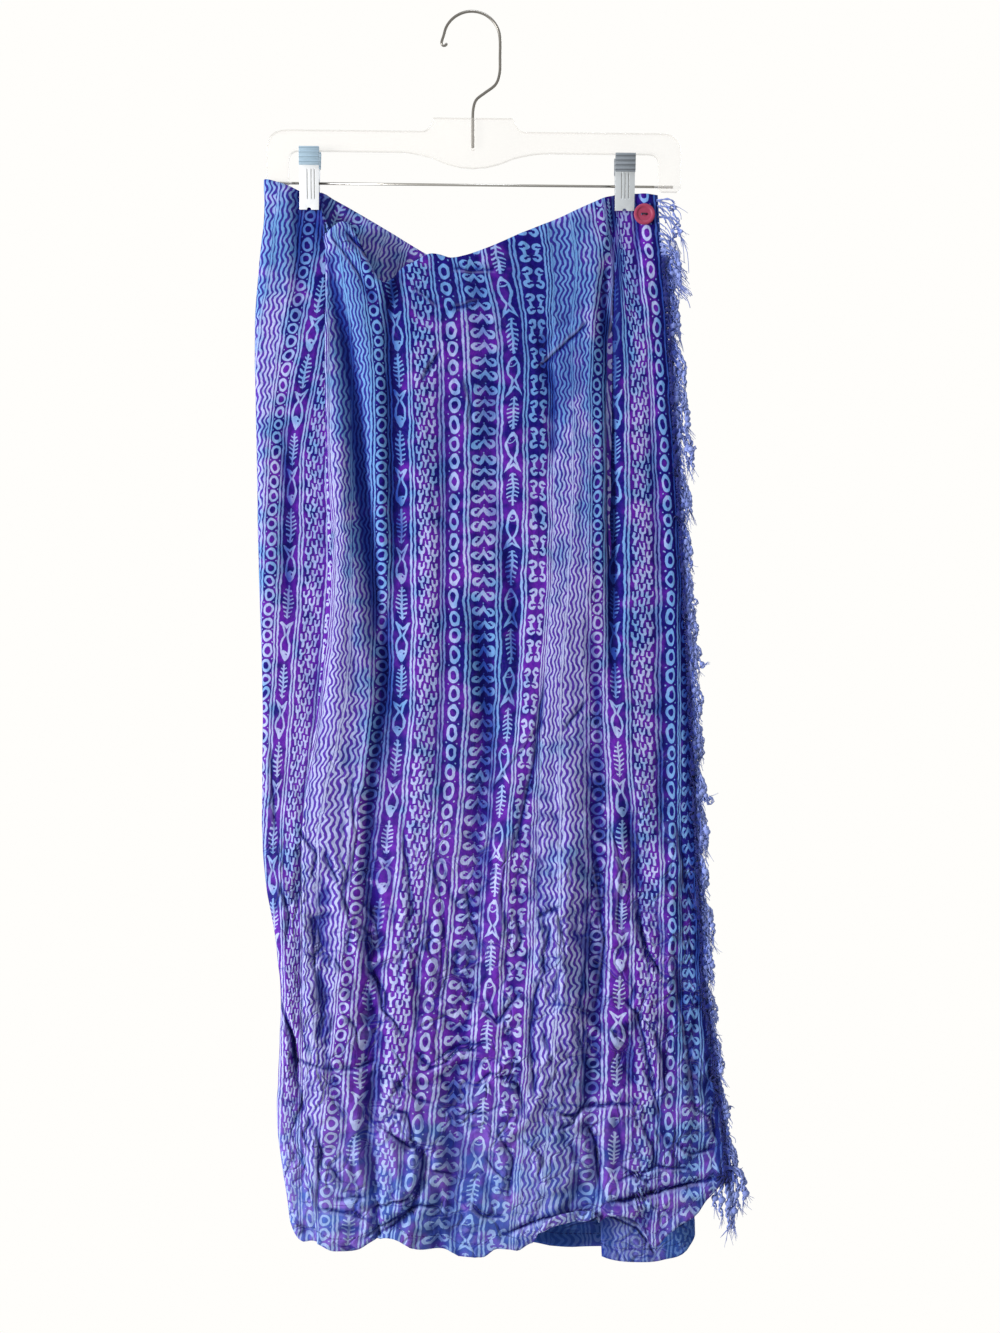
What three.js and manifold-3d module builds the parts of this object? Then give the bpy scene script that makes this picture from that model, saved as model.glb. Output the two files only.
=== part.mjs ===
import * as THREE from "three";
import { mergeVertices } from "three/addons/utils/BufferGeometryUtils.js";
import Module from "manifold-3d";

// Wrap skirt hanging flat from a clip hanger. Millimetres, +Z up, the front faces -Y.
// The origin is the inner top of the hook's bend, where a nail or a rail carries it.
// One length of printed cloth goes from the fringed outer end (right of the front), across the
// front, round the left fold, across the back, round the right fold and a little way back
// between the two as the under lap. A soft pleat runs down the left of the front.

const wasm = await Module();
wasm.setup();

// ---------------------------------------------------------------- driving sizes
const WALL = 1.1; // cloth wall
const GAP = 0.3; // clearance between neighbouring pieces
const LAYER = 1.4; // pitch of the cloth layers inside a clip
const HANG = 6; // depth of the front and the back from the mid plane where they hang free
const HEM_PUFF = 1.8; // the layers stand this much further apart at the hem than at the waist
const PLEAT_LAP = 42; // how far the pleat's hidden layers reach under its ridge
const PLEAT_STEP = 2.5; // pitch of the pleat's layers
const WAIST_Z = -172; // lower end of the clips' grip
const PINCH_FALL = 110; // the grip's flattening fades over this height
const PINCH_SIDE = 9; // and over this width beside a clip

const HOOK_WIRE = 2.6;
const HOOK_BEND = 24.2; // centre-line radius of the hook's bend
const BAR_THICK = 6.4; // clear plastic hanger, front to back
const ROD_D = 2.2;
const ROD_Z = -147.2;
const CLIP_W = 16.6;
const PLATE = 0.8; // clip plate sheet
const JAW_Y = 2.5; // inner face of a closed jaw
const TILT = -0.0105; // the loaded hanger hangs a little low on its right

const BUTTON_D = 18;
const BUTTON_T = 3;
const FRINGE_T = 4;
const FRINGE_GAP = 1.2; // the fringe strip stays this far off the outer end

// Guide lines down the cloth, one row for each height:
// left fold, pleat edge, then the middles of four printed bands, the outer edge, the right fold.
const GUIDES = [
  { z: -144.9, left: -178.1, pleat: -128.5, branch: -62.0, scroll: -9.3, ridge: 72, dart: 104.2, ovals: 144.5, edge: 156.4, back: 153.8 },
  { z: -174.7, left: -178.2, pleat: -128.5, branch: -58.6, scroll: -7.6, ridge: 75, dart: 106.1, ovals: 147.0, edge: 158.1, back: 155.5 },
  { z: -214.6, left: -182.3, pleat: -125.8, branch: -48.4, scroll: -1.7, ridge: 82, dart: 116.1, ovals: 150.8, edge: 161.5, back: 158.1 },
  { z: -272.4, left: -186.2, pleat: -126.1, branch: -43.4, scroll: 8.5, ridge: 84, dart: 115.1, ovals: 156.7, edge: 165.8, back: 160.7 },
  { z: -374.4, left: -184.4, pleat: -125.2, branch: -40.8, scroll: 8.9, ridge: 85, dart: 112.8, ovals: 162.3, edge: 171.7, back: 164.9 },
  { z: -467.9, left: -182.8, pleat: -123.4, branch: -37.8, scroll: 8.9, ridge: 82, dart: 111.4, ovals: 167.8, edge: 177.7, back: 169.2 },
  { z: -586.9, left: -179.3, pleat: -131.8, branch: -39.5, scroll: 8.8, ridge: 74, dart: 111.4, ovals: 168.7, edge: 183.6, back: 175.1 },
  { z: -714.4, left: -178.9, pleat: -145.3, branch: -47.6, scroll: 0.8, ridge: 73.5, dart: 114.5, ovals: 169.5, edge: 189.5, back: 181.0 },
  { z: -841.9, left: -164.5, pleat: -143.7, branch: -62.0, scroll: -10.6, ridge: 70.5, dart: 111.8, ovals: 168.6, edge: 197.2, back: 187.8 },
  { z: -939.7, left: -166.6, pleat: -144.5, branch: -70.5, scroll: -18.7, ridge: 63.8, dart: 108.6, ovals: 165.8, edge: 210.8, back: 190.4 },
  { z: -1045.9, left: -154.7, pleat: -131.8, branch: -79.0, scroll: -31.4, ridge: 55.2, dart: 101.6, ovals: 160.7, edge: 220.2, back: 189.5 },
];

// Cut edges: height of the edge at each place across.
const FRONT_TOP = [
  { x: -190, z: -143 }, { x: -178.1, z: -143.2 }, { x: -164, z: -147 }, { x: -147, z: -153 }, { x: -131.8, z: -156.8 },
  { x: -128.3, z: -172 }, { x: -125, z: -192 }, { x: -118.1, z: -186.6 }, { x: -110.5, z: -182.3 }, { x: -102.8, z: -185.7 },
  { x: -96, z: -198.5 }, { x: -87.5, z: -218 }, { x: -75.6, z: -233.3 }, { x: -60.4, z: -219.7 }, { x: -34.9, z: -207 },
  { x: -19.6, z: -211.2 }, { x: 6, z: -204.4 }, { x: 39.9, z: -190 }, { x: 74, z: -176.4 }, { x: 99.5, z: -164.5 },
  { x: 122.4, z: -156 }, { x: 138.5, z: -155.1 }, { x: 158, z: -157.7 },
];
const BACK_TOP = [
  { x: -190, z: -143 }, { x: -178.1, z: -143.2 }, { x: -147, z: -153 }, { x: -128.3, z: -153.8 }, { x: -117.3, z: -159.4 },
  { x: -34.9, z: -207.4 }, { x: -19.6, z: -213.8 }, { x: 39.9, z: -195.9 }, { x: 99.5, z: -172.1 }, { x: 122.4, z: -158.5 },
  { x: 138.5, z: -157.7 }, { x: 158, z: -160.2 },
];
const FRONT_HEM = [
  { x: -165, z: -1020 }, { x: -156.4, z: -1028 }, { x: -147.9, z: -1043 }, { x: -116.5, z: -1053 }, { x: -98.6, z: -1052.5 },
  { x: -74, z: -1041 }, { x: -50, z: -1050.2 }, { x: -10, z: -1057.5 }, { x: 7.6, z: -1057.5 }, { x: 30, z: -1051 },
  { x: 52.7, z: -1043.4 }, { x: 86.7, z: -1027.2 }, { x: 114, z: -1023 }, { x: 136, z: -1027 }, { x: 153.5, z: -1046 },
  { x: 171.7, z: -1032.3 }, { x: 190.4, z: -1020 }, { x: 199, z: -1007.5 }, { x: 207.4, z: -1000 }, { x: 222, z: -981 },
];
const BACK_HEM = [
  { x: -165, z: -1016 }, { x: -147.9, z: -1036 }, { x: -98, z: -1045 }, { x: -50, z: -1043 }, { x: 22.9, z: -1051 },
  { x: 72.2, z: -1056.5 }, { x: 112, z: -1057 }, { x: 163.2, z: -1055 }, { x: 183.6, z: -1050 }, { x: 190.5, z: -1042.5 },
];
const UNDER_HEM = [
  { x: 100, z: -1057 }, { x: 113, z: -1064.3 }, { x: 144.5, z: -1067.2 }, { x: 163.2, z: -1065 }, { x: 183.6, z: -1056 },
  { x: 190.5, z: -1042.5 },
];
// Free end of the under lap, hidden behind the front except at the hem.
const UNDER_END = [{ z: -150, x: 74 }, { z: -600, x: 92 }, { z: -1068, x: 110 }];
// Reach of the fringe's tassels beyond the outer end.
const FRINGE_TIPS = [
  { z: -160, x: 170 }, { z: -176, x: 181 }, { z: -272, x: 182.8 }, { z: -374, x: 187.8 }, { z: -468, x: 189 },
  { z: -587, x: 197 }, { z: -714, x: 202.5 }, { z: -842, x: 209 }, { z: -940, x: 222 }, { z: -1011, x: 232 }, { z: -1053, x: 228 },
];
const FRINGE_FOOT = -1053; // lowest tassel

// ---------------------------------------------------------------- curves through the tables
const clamp01 = (t) => Math.min(1, Math.max(0, t));
const smooth = (t) => { const k = clamp01(t); return k * k * (3 - 2 * k); };
const mix = (a, b, t) => a + (b - a) * t;

// Value of column `to` at `at` on column `from`, rows in either order.
function along(rows, from, to, at) {
  const up = rows[0][from] < rows[rows.length - 1][from];
  const r = up ? rows : [...rows].reverse();
  if (at <= r[0][from]) return r[0][to];
  for (let i = 1; i < r.length; i++)
    if (at <= r[i][from]) return mix(r[i - 1][to], r[i][to], (at - r[i - 1][from]) / (r[i][from] - r[i - 1][from]));
  return r[r.length - 1][to];
}
const guide = (name, z) => along(GUIDES, "z", name, z);
const underEnd = (z) => along(UNDER_END, "z", "x", z);

const CLIPS = [
  { name: "left", x: -139.2, top: -118.2, foot: -170.4 },
  { name: "right", x: 129.8, top: -121.1, foot: -168.6 },
];
// How much the clips flatten the cloth at a point, 1 in a jaw.
function pinch(x, z) {
  const down = 1 - smooth((WAIST_Z - z) / PINCH_FALL);
  return Math.max(...CLIPS.map((c) => (1 - smooth((Math.abs(x - c.x) - CLIP_W / 2 - 1) / PINCH_SIDE)) * down));
}
// Depth of a layer whose free depth is `y`.
const depth = (y, x, z) =>
  mix(y * mix(1, HEM_PUFF, smooth((WAIST_Z - z) / 850)), (y / HANG) * LAYER, pinch(x, z));

// ---------------------------------------------------------------- cloth walls
// A closed wall of WALL thickness about a grid of points [row][column], rows running down.
function wall(grid, thick = WALL) {
  const rows = grid.length, cols = grid[0].length;
  const at = (i, j) => grid[Math.min(rows - 1, Math.max(0, i))][Math.min(cols - 1, Math.max(0, j))];
  const positions = [];
  for (const side of [-1, 1])
    for (let i = 0; i < rows; i++)
      for (let j = 0; j < cols; j++) {
        const across = at(i, j + 1).clone().sub(at(i, j - 1));
        const down = at(i + 1, j).clone().sub(at(i - 1, j));
        const n = across.cross(down).normalize(); // faces +Y on the front's run from left to right
        positions.push(...grid[i][j].clone().addScaledVector(n, (side * thick) / 2).toArray());
      }
  const id = (s, i, j) => s * rows * cols + i * cols + j;
  const index = [];
  const quad = (a, b, c, d) => index.push(a, b, c, a, c, d);
  for (let i = 0; i + 1 < rows; i++)
    for (let j = 0; j + 1 < cols; j++) {
      quad(id(0, i, j), id(0, i + 1, j), id(0, i + 1, j + 1), id(0, i, j + 1));
      quad(id(1, i, j), id(1, i, j + 1), id(1, i + 1, j + 1), id(1, i + 1, j));
    }
  for (let i = 0; i + 1 < rows; i++) {
    quad(id(0, i, 0), id(1, i, 0), id(1, i + 1, 0), id(0, i + 1, 0));
    quad(id(0, i, cols - 1), id(0, i + 1, cols - 1), id(1, i + 1, cols - 1), id(1, i, cols - 1));
  }
  for (let j = 0; j + 1 < cols; j++) {
    quad(id(0, 0, j), id(0, 0, j + 1), id(1, 0, j + 1), id(1, 0, j));
    quad(id(0, rows - 1, j), id(1, rows - 1, j), id(1, rows - 1, j + 1), id(0, rows - 1, j + 1));
  }
  const g = new THREE.BufferGeometry();
  g.setAttribute("position", new THREE.Float32BufferAttribute(positions, 3));
  g.setIndex(index);
  return g;
}

// Grid of a panel: `section(z)` gives the stations across at a height as {x, y};
// each column then runs from its place on the top edge to its place on the hem.
function panel(section, top, hem, rows) {
  const n = section(-500).length;
  const grid = Array.from({ length: rows + 1 }, () => []);
  for (let j = 0; j < n; j++) {
    const reach = (edge, start) => {
      let z = start;
      for (let k = 0; k < 12; k++) z = along(edge, "x", "z", section(z)[j].x);
      return z;
    };
    const z0 = reach(top, -170), z1 = reach(hem, -1030);
    for (let i = 0; i <= rows; i++) {
      const t = i / rows, z = mix(z0, z1, t * (0.75 + 0.25 * t)); // rows closer together at the waist
      const s = section(z)[j];
      grid[i][j] = new THREE.Vector3(s.x, s.y, z);
    }
  }
  return grid;
}

// A station of a section: place across, free depth (flattened by the clips), and depth kept as it is.
const station = (x, free, kept = 0) => ({ x, free, kept });
// `n` stations between two, after the first.
const span = (a, b, n) =>
  Array.from({ length: n }, (_, k) => {
    const t = (k + 1) / n;
    return station(mix(a.x, b.x, t), mix(a.free, b.free, smooth(t)), mix(a.kept, b.kept, smooth(t)));
  });
// Half turn that adds `step` of kept depth about x, bulging to `side` (+1 right, -1 left).
const halfTurn = (a, x, step, side, n = 5) =>
  Array.from({ length: n }, (_, k) => {
    const w = (Math.PI * (k + 1)) / n, r = step / 2;
    return station(x + side * Math.abs(r) * Math.sin(w), a.free, a.kept + r - r * Math.cos(w));
  });
// Quarter turn of a side fold; `face` is -1 for the front half and +1 for the back half.
const quarterTurn = (x, toward, face, free) =>
  Array.from({ length: 5 }, (_, k) => {
    const w = (k / 4) * (Math.PI / 2);
    return station(x + toward * 0.8 * Math.abs(free) * (1 - Math.cos(w)), free * Math.sin(w), (face * GAP * Math.cos(w)) / 2);
  });
const placed = (stations, z) => stations.map((s) => ({ x: s.x, y: depth(s.free, s.x, z) + s.kept }));

// Soft folds across the front: free depth at each guide line.
const FRONT_FOLDS = [
  { guide: "branch", dx: 0, y: -8.6, spans: 4 },
  { guide: "scroll", dx: -16, y: -7.6, spans: 2 },
  { guide: "scroll", dx: 4, y: -5.4, spans: 3 },
  { guide: "scroll", dx: 34, y: -8.6, spans: 3 },
  { guide: "ridge", dx: 0, y: -9.4, spans: 3 },
  { guide: "dart", dx: 0, y: -4.6, spans: 4 },
  { guide: "dart", dx: 14, y: -7.2, spans: 3 },
  { guide: "ovals", dx: 0, y: -7.0, spans: 4 },
  { guide: "edge", dx: -GAP, y: -5.6, spans: 2 },
];
function frontSection(z) {
  const left = guide("left", z), fold = guide("pleat", z), end = fold + PLEAT_LAP;
  const pts = quarterTurn(left, 1, -1, -HANG);
  const to = (x, free, kept, n) => pts.push(...span(pts[pts.length - 1], station(x, free, kept), n));
  to(fold, -HANG, 0, 8);
  to(end, -HANG, 0, 3);
  pts.push(...halfTurn(pts[pts.length - 1], end, -PLEAT_STEP, 1));
  to(fold + 2, -HANG, -PLEAT_STEP, 4);
  pts.push(...halfTurn(pts[pts.length - 1], fold + 2, -PLEAT_STEP, -1));
  to(fold + 16, -HANG, -2 * PLEAT_STEP - 1, 2);
  to(end + 4, -HANG, -1.7 * PLEAT_STEP, 3);
  to(end + 14, -4.6, 0, 2);
  const grown = smooth((WAIST_Z + 10 - z) / 260);
  for (const f of FRONT_FOLDS) to(guide(f.guide, z) + f.dx, mix(-HANG, f.y, grown), 0, f.spans);
  return placed(pts, z);
}
// Mild waves across the back.
const BACK_FOLDS = [
  { x: -149, y: 5.6, spans: 4 }, { x: -129.4, y: 5.7, spans: 2 }, { x: -120, y: 6.1, spans: 2 }, { x: -92, y: 7.2, spans: 2 },
  { x: -41, y: 5.2, spans: 2 }, { x: 10, y: 7.0, spans: 2 }, { x: 61, y: 5.3, spans: 2 }, { x: 110, y: 6.6, spans: 2 },
  { x: 120, y: 6.4, spans: 2 }, { x: 139.6, y: 5.7, spans: 2 }, { x: 145, y: 5.8, spans: 1 },
];
function backSection(z) {
  const left = guide("left", z), right = guide("back", z), grown = smooth((WAIST_Z - z) / 300);
  const pts = quarterTurn(left, 1, 1, HANG);
  const to = (x, free, kept, n) => pts.push(...span(pts[pts.length - 1], station(x, free, kept), n));
  for (const f of BACK_FOLDS) to(f.x, mix(HANG, f.y, grown), 0, f.spans);
  // right fold, back half: its turn is centred between the back and the under lap
  to(right - HANG / 2, HANG, 0, 2);
  for (let k = 1; k <= 4; k++) {
    const w = (k / 4) * (Math.PI / 2);
    pts.push(station(right - (HANG / 2) * (1 - Math.sin(w)), (HANG / 2) * (1 + Math.cos(w)), (GAP / 2) * Math.sin(w)));
  }
  return placed(pts, z);
}
function underSection(z) {
  const right = guide("back", z), end = underEnd(z);
  const pts = [];
  for (let k = 0; k <= 4; k++) {
    const w = (k / 4) * (Math.PI / 2);
    pts.push(station(right - (HANG / 2) * (1 - Math.cos(w)), (HANG / 2) * (1 - Math.sin(w)), (-GAP / 2) * Math.cos(w)));
  }
  pts.push(...span(pts[pts.length - 1], station(end, 0), 6));
  return placed(pts.reverse(), z); // runs from left to right
}
// Front surface depth at a place, for what is sewn on it.
function frontFace(x, z) {
  const s = frontSection(z);
  const run = s.slice(-20);
  for (let i = 1; i < run.length; i++)
    if (x <= run[i].x) return mix(run[i - 1].y, run[i].y, (x - run[i - 1].x) / (run[i].x - run[i - 1].x)) - WALL / 2;
  return run[run.length - 1].y - WALL / 2;
}

// ---------------------------------------------------------------- booleans
function solid(geometry) {
  const g = geometry.clone();
  g.deleteAttribute("normal");
  g.deleteAttribute("uv");
  const m = mergeVertices(g, 1e-4);
  return new wasm.Manifold(new wasm.Mesh({ numProp: 3, vertProperties: m.attributes.position.array, triVerts: new Uint32Array(m.index.array) }));
}
function geometryOf(made) {
  const m = made.getMesh();
  const g = new THREE.BufferGeometry();
  const v = new Float32Array(m.numVert * 3);
  for (let i = 0; i < m.numVert; i++) v.set(m.vertProperties.subarray(i * m.numProp, i * m.numProp + 3), i * 3);
  g.setAttribute("position", new THREE.BufferAttribute(v, 3));
  g.setIndex(new THREE.BufferAttribute(new Uint32Array(m.triVerts), 1));
  return g;
}
const cut = (body, ...tools) => geometryOf(tools.reduce((s, t) => s.subtract(solid(t)), solid(body)));

// Flat shape in the XZ plane, given depth along Y about y = mid.
function plate(shape, thick, mid = 0, bevel = 0) {
  const g = new THREE.ExtrudeGeometry(shape, {
    depth: thick - 2 * bevel, curveSegments: 6, bevelEnabled: bevel > 0, bevelThickness: bevel, bevelSize: bevel, bevelOffset: -bevel, bevelSegments: 2,
  });
  g.translate(0, 0, -thick / 2 + bevel);
  g.rotateX(Math.PI / 2);
  g.translate(0, mid, 0);
  return g;
}
// Round bar along a curve.
function wire(curve, d, steps, sides = 10) {
  const s = new THREE.Shape();
  for (let k = 0; k < sides; k++) {
    const a = (k / sides) * 2 * Math.PI;
    s[k ? "lineTo" : "moveTo"]((d / 2) * Math.cos(a), (d / 2) * Math.sin(a));
  }
  s.closePath();
  return new THREE.ExtrudeGeometry(s, { steps, bevelEnabled: false, extrudePath: curve });
}
const cylinderY = (r, h, x, y, z, n = 24) => new THREE.CylinderGeometry(r, r, h, n).translate(0, 0, 0).translate(x, y, z);

// ---------------------------------------------------------------- materials
const mat = (color, roughness, metalness = 0, extra = {}) => new THREE.MeshStandardMaterial({ color, roughness, metalness, ...extra });
const CLOTH = mat(0x5a4fb4, 0.8);
const CLOTH_BACK = mat(0x4f56b8, 0.82);
const CLOTH_UNDER = mat(0x5f5ac0, 0.82);
const YARN = mat(0x5a68b8, 0.9);
const CLEAR = mat(0xe9edf0, 0.12, 0, { transparent: true, opacity: 0.35 });
const STEEL = mat(0x9c9c98, 0.3, 1);
const BRIGHT = mat(0xc9ccd0, 0.2, 1);
const GRIP = mat(0x7d8590, 0.55);
const BUTTON = mat(0xa03a55, 0.5);

const skirt = new THREE.Group();
const add = (parent, name, geometry, material) => {
  const m = new THREE.Mesh(geometry, material);
  m.name = name;
  parent.add(m);
  return m;
};

// ---------------------------------------------------------------- cloth
const flip = (g) => {
  const i = g.index.array;
  for (let k = 0; k < i.length; k += 3) [i[k + 1], i[k + 2]] = [i[k + 2], i[k + 1]];
  return g;
};
const outward = (g) => {
  const p = g.attributes.position.array, i = g.index.array;
  let v = 0;
  const a = new THREE.Vector3(), b = new THREE.Vector3(), c = new THREE.Vector3();
  for (let k = 0; k < i.length; k += 3) {
    a.fromArray(p, i[k] * 3); b.fromArray(p, i[k + 1] * 3); c.fromArray(p, i[k + 2] * 3);
    v += a.dot(b.cross(c));
  }
  return v < 0 ? flip(g) : g;
};
add(skirt, "front_panel", outward(wall(panel(frontSection, FRONT_TOP, FRONT_HEM, 22))), CLOTH);
add(skirt, "back_panel", outward(wall(panel(backSection, BACK_TOP, BACK_HEM, 17))), CLOTH_BACK);
add(skirt, "under_lap", outward(wall(panel(underSection, BACK_TOP, UNDER_HEM, 18))), CLOTH_UNDER);

// Fringe: a plain strip of the tassels' reach, hanging beside and below the outer end.
const fringe = [];
const FRINGE_ROWS = 22;
for (let i = 0; i <= FRINGE_ROWS; i++) {
  const z = mix(-160, FRINGE_FOOT, i / FRINGE_ROWS);
  const hemZ = along(FRONT_HEM, "x", "z", guide("edge", z));
  const inner = mix(guide("edge", Math.max(z, hemZ - 12)) + FRINGE_GAP, 213, smooth((hemZ - 16 - z) / 40));
  const outer = along(FRINGE_TIPS, "z", "x", z);
  const y = depth(-5.6, inner, z);
  fringe.push([0, 0.5, 1].map((t) => new THREE.Vector3(mix(inner, outer, t), y + t * 1.5, z)));
}
add(skirt, "fringe", outward(wall(fringe, FRINGE_T)), YARN);

// Button with a raised rim and two thread holes.
{
  const r = BUTTON_D / 2, x = 145.7, z = -174;
  const profile = [
    [0, 0], [r - 1.2, 0], [r, 0.9], [r, BUTTON_T - 0.7], [r - 0.7, BUTTON_T], [r - 2.2, BUTTON_T], [r - 3.4, BUTTON_T - 0.9], [0, BUTTON_T - 0.9],
  ].map(([a, b]) => new THREE.Vector2(a, b));
  const disc = new THREE.LatheGeometry(profile, 40);
  const holes = [-1.9, 1.9].map((dx) => new THREE.CylinderGeometry(1, 1, 12, 12).translate(dx, 0, 0));
  const g = cut(disc, ...holes);
  g.rotateX(Math.PI); // the rim faces -Y
  const back = Math.min(...[-8, -4, 0, 4, 8].map((d) => Math.min(frontFace(x + d, z), frontFace(x, z + d))));
  add(skirt, "button", outward(g), BUTTON).position.set(x, back - GAP, z);
}

// ---------------------------------------------------------------- hanger
const HUB = new THREE.Vector3(-0.5, 0, -110);
const hanger = new THREE.Group();
hanger.position.copy(HUB);
hanger.rotation.y = -TILT;
const inside = new THREE.Group(); // back to the part's own coordinates inside the tilted group
inside.position.copy(HUB).negate();
hanger.add(inside);
skirt.add(hanger);

// Clear moulded bar: a long bow with two arms that hold the rod, and a hub for the hook.
const BAR = { left: -176, right: 177.5, top: -102, low: -119.6, corner: 17, arm: 19, foot: -151.5, hubHalf: 34, hubTop: -90.5, hubLow: -133, hubReach: 65 };
{
  const s = new THREE.Shape();
  const { left, right, top, low, corner, arm, foot, hubHalf, hubTop, hubLow, hubReach } = BAR;
  s.moveTo(left, foot + 4);
  s.lineTo(left, top - corner);
  s.quadraticCurveTo(left, top, left + corner, top);
  s.lineTo(-hubHalf - 10, top);
  s.quadraticCurveTo(-hubHalf - 3, top, -hubHalf, hubTop);
  s.lineTo(hubHalf, hubTop);
  s.quadraticCurveTo(hubHalf + 3, top, hubHalf + 10, top);
  s.lineTo(right - corner, top);
  s.quadraticCurveTo(right, top, right, top - corner);
  s.lineTo(right, foot + 4);
  s.quadraticCurveTo(right, foot, right - 4, foot);
  s.lineTo(right - arm + 3, foot);
  s.lineTo(right - arm, foot + 3);
  s.lineTo(right - arm, low - 9);
  s.quadraticCurveTo(right - arm, low, right - arm - 9, low);
  s.lineTo(hubReach, low);
  s.quadraticCurveTo(hubReach - 14, low, hubHalf, low - 5);
  s.quadraticCurveTo(0, hubLow * 2 - (low - 5), -hubHalf, low - 5);
  s.quadraticCurveTo(-hubReach + 14, low, -hubReach, low);
  s.lineTo(left + arm + 9, low);
  s.quadraticCurveTo(left + arm, low, left + arm, low - 9);
  s.lineTo(left + arm, foot + 3);
  s.lineTo(left + arm - 3, foot);
  s.lineTo(left + 4, foot);
  s.quadraticCurveTo(left, foot, left, foot + 4);
  const body = plate(s, BAR_THICK, 0, 0.8);
  const socket = (x, len) => new THREE.CylinderGeometry(ROD_D / 2 + GAP, ROD_D / 2 + GAP, len, 16).rotateZ(Math.PI / 2).translate(x, 0, ROD_Z);
  const bore = new THREE.CylinderGeometry(HOOK_WIRE / 2 + GAP, HOOK_WIRE / 2 + GAP, 27, 16).rotateX(Math.PI / 2).translate(-0.3, 0, -104);
  add(inside, "hanger_bar", cut(body, socket(left + arm, 26), socket(right - arm, 26), bore), CLEAR);
}
// Steel rod through the clips, its ends in the arms.
const ROD_ENDS = [BAR.left + BAR.arm - 12.5, BAR.right - BAR.arm + 12.5];
add(inside, "rod", new THREE.CylinderGeometry(ROD_D / 2, ROD_D / 2, ROD_ENDS[1] - ROD_ENDS[0], 16).rotateZ(Math.PI / 2), STEEL)
  .position.set((ROD_ENDS[0] + ROD_ENDS[1]) / 2, 0, ROD_Z);

// Hook: an open bend over the nail, a dog-leg and a shank that turns in the hub.
{
  const path = new THREE.CurvePath();
  const P = (x, z) => new THREE.Vector3(x, 0, z);
  const cx = -1.2, cz = HOOK_WIRE / 2 - HOOK_BEND;
  const pts = [];
  pts.push(P(cx - HOOK_BEND + 3.2, cz - 3.2), P(cx - HOOK_BEND + 1.4, cz - 5.4), P(cx - HOOK_BEND - 1.6, cz - 4.8), P(cx - HOOK_BEND - 1.4, cz - 1.6));
  for (let k = 0; k <= 10; k++) {
    const a = Math.PI - 0.12 - (k / 10) * (Math.PI - 0.12);
    pts.push(P(cx + HOOK_BEND * Math.cos(a), cz + HOOK_BEND * Math.sin(a)));
  }
  pts.push(P(23, -38), P(22.6, -52), P(19.5, -61), P(10, -68.5), P(2.6, -74.5), P(0.2, -82), P(-0.3, -92), P(-0.3, -104), P(-0.3, -115.5));
  add(skirt, "hook", wire(new THREE.CatmullRomCurve3(pts, false, "centripetal"), HOOK_WIRE, 76), STEEL);
}

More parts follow.
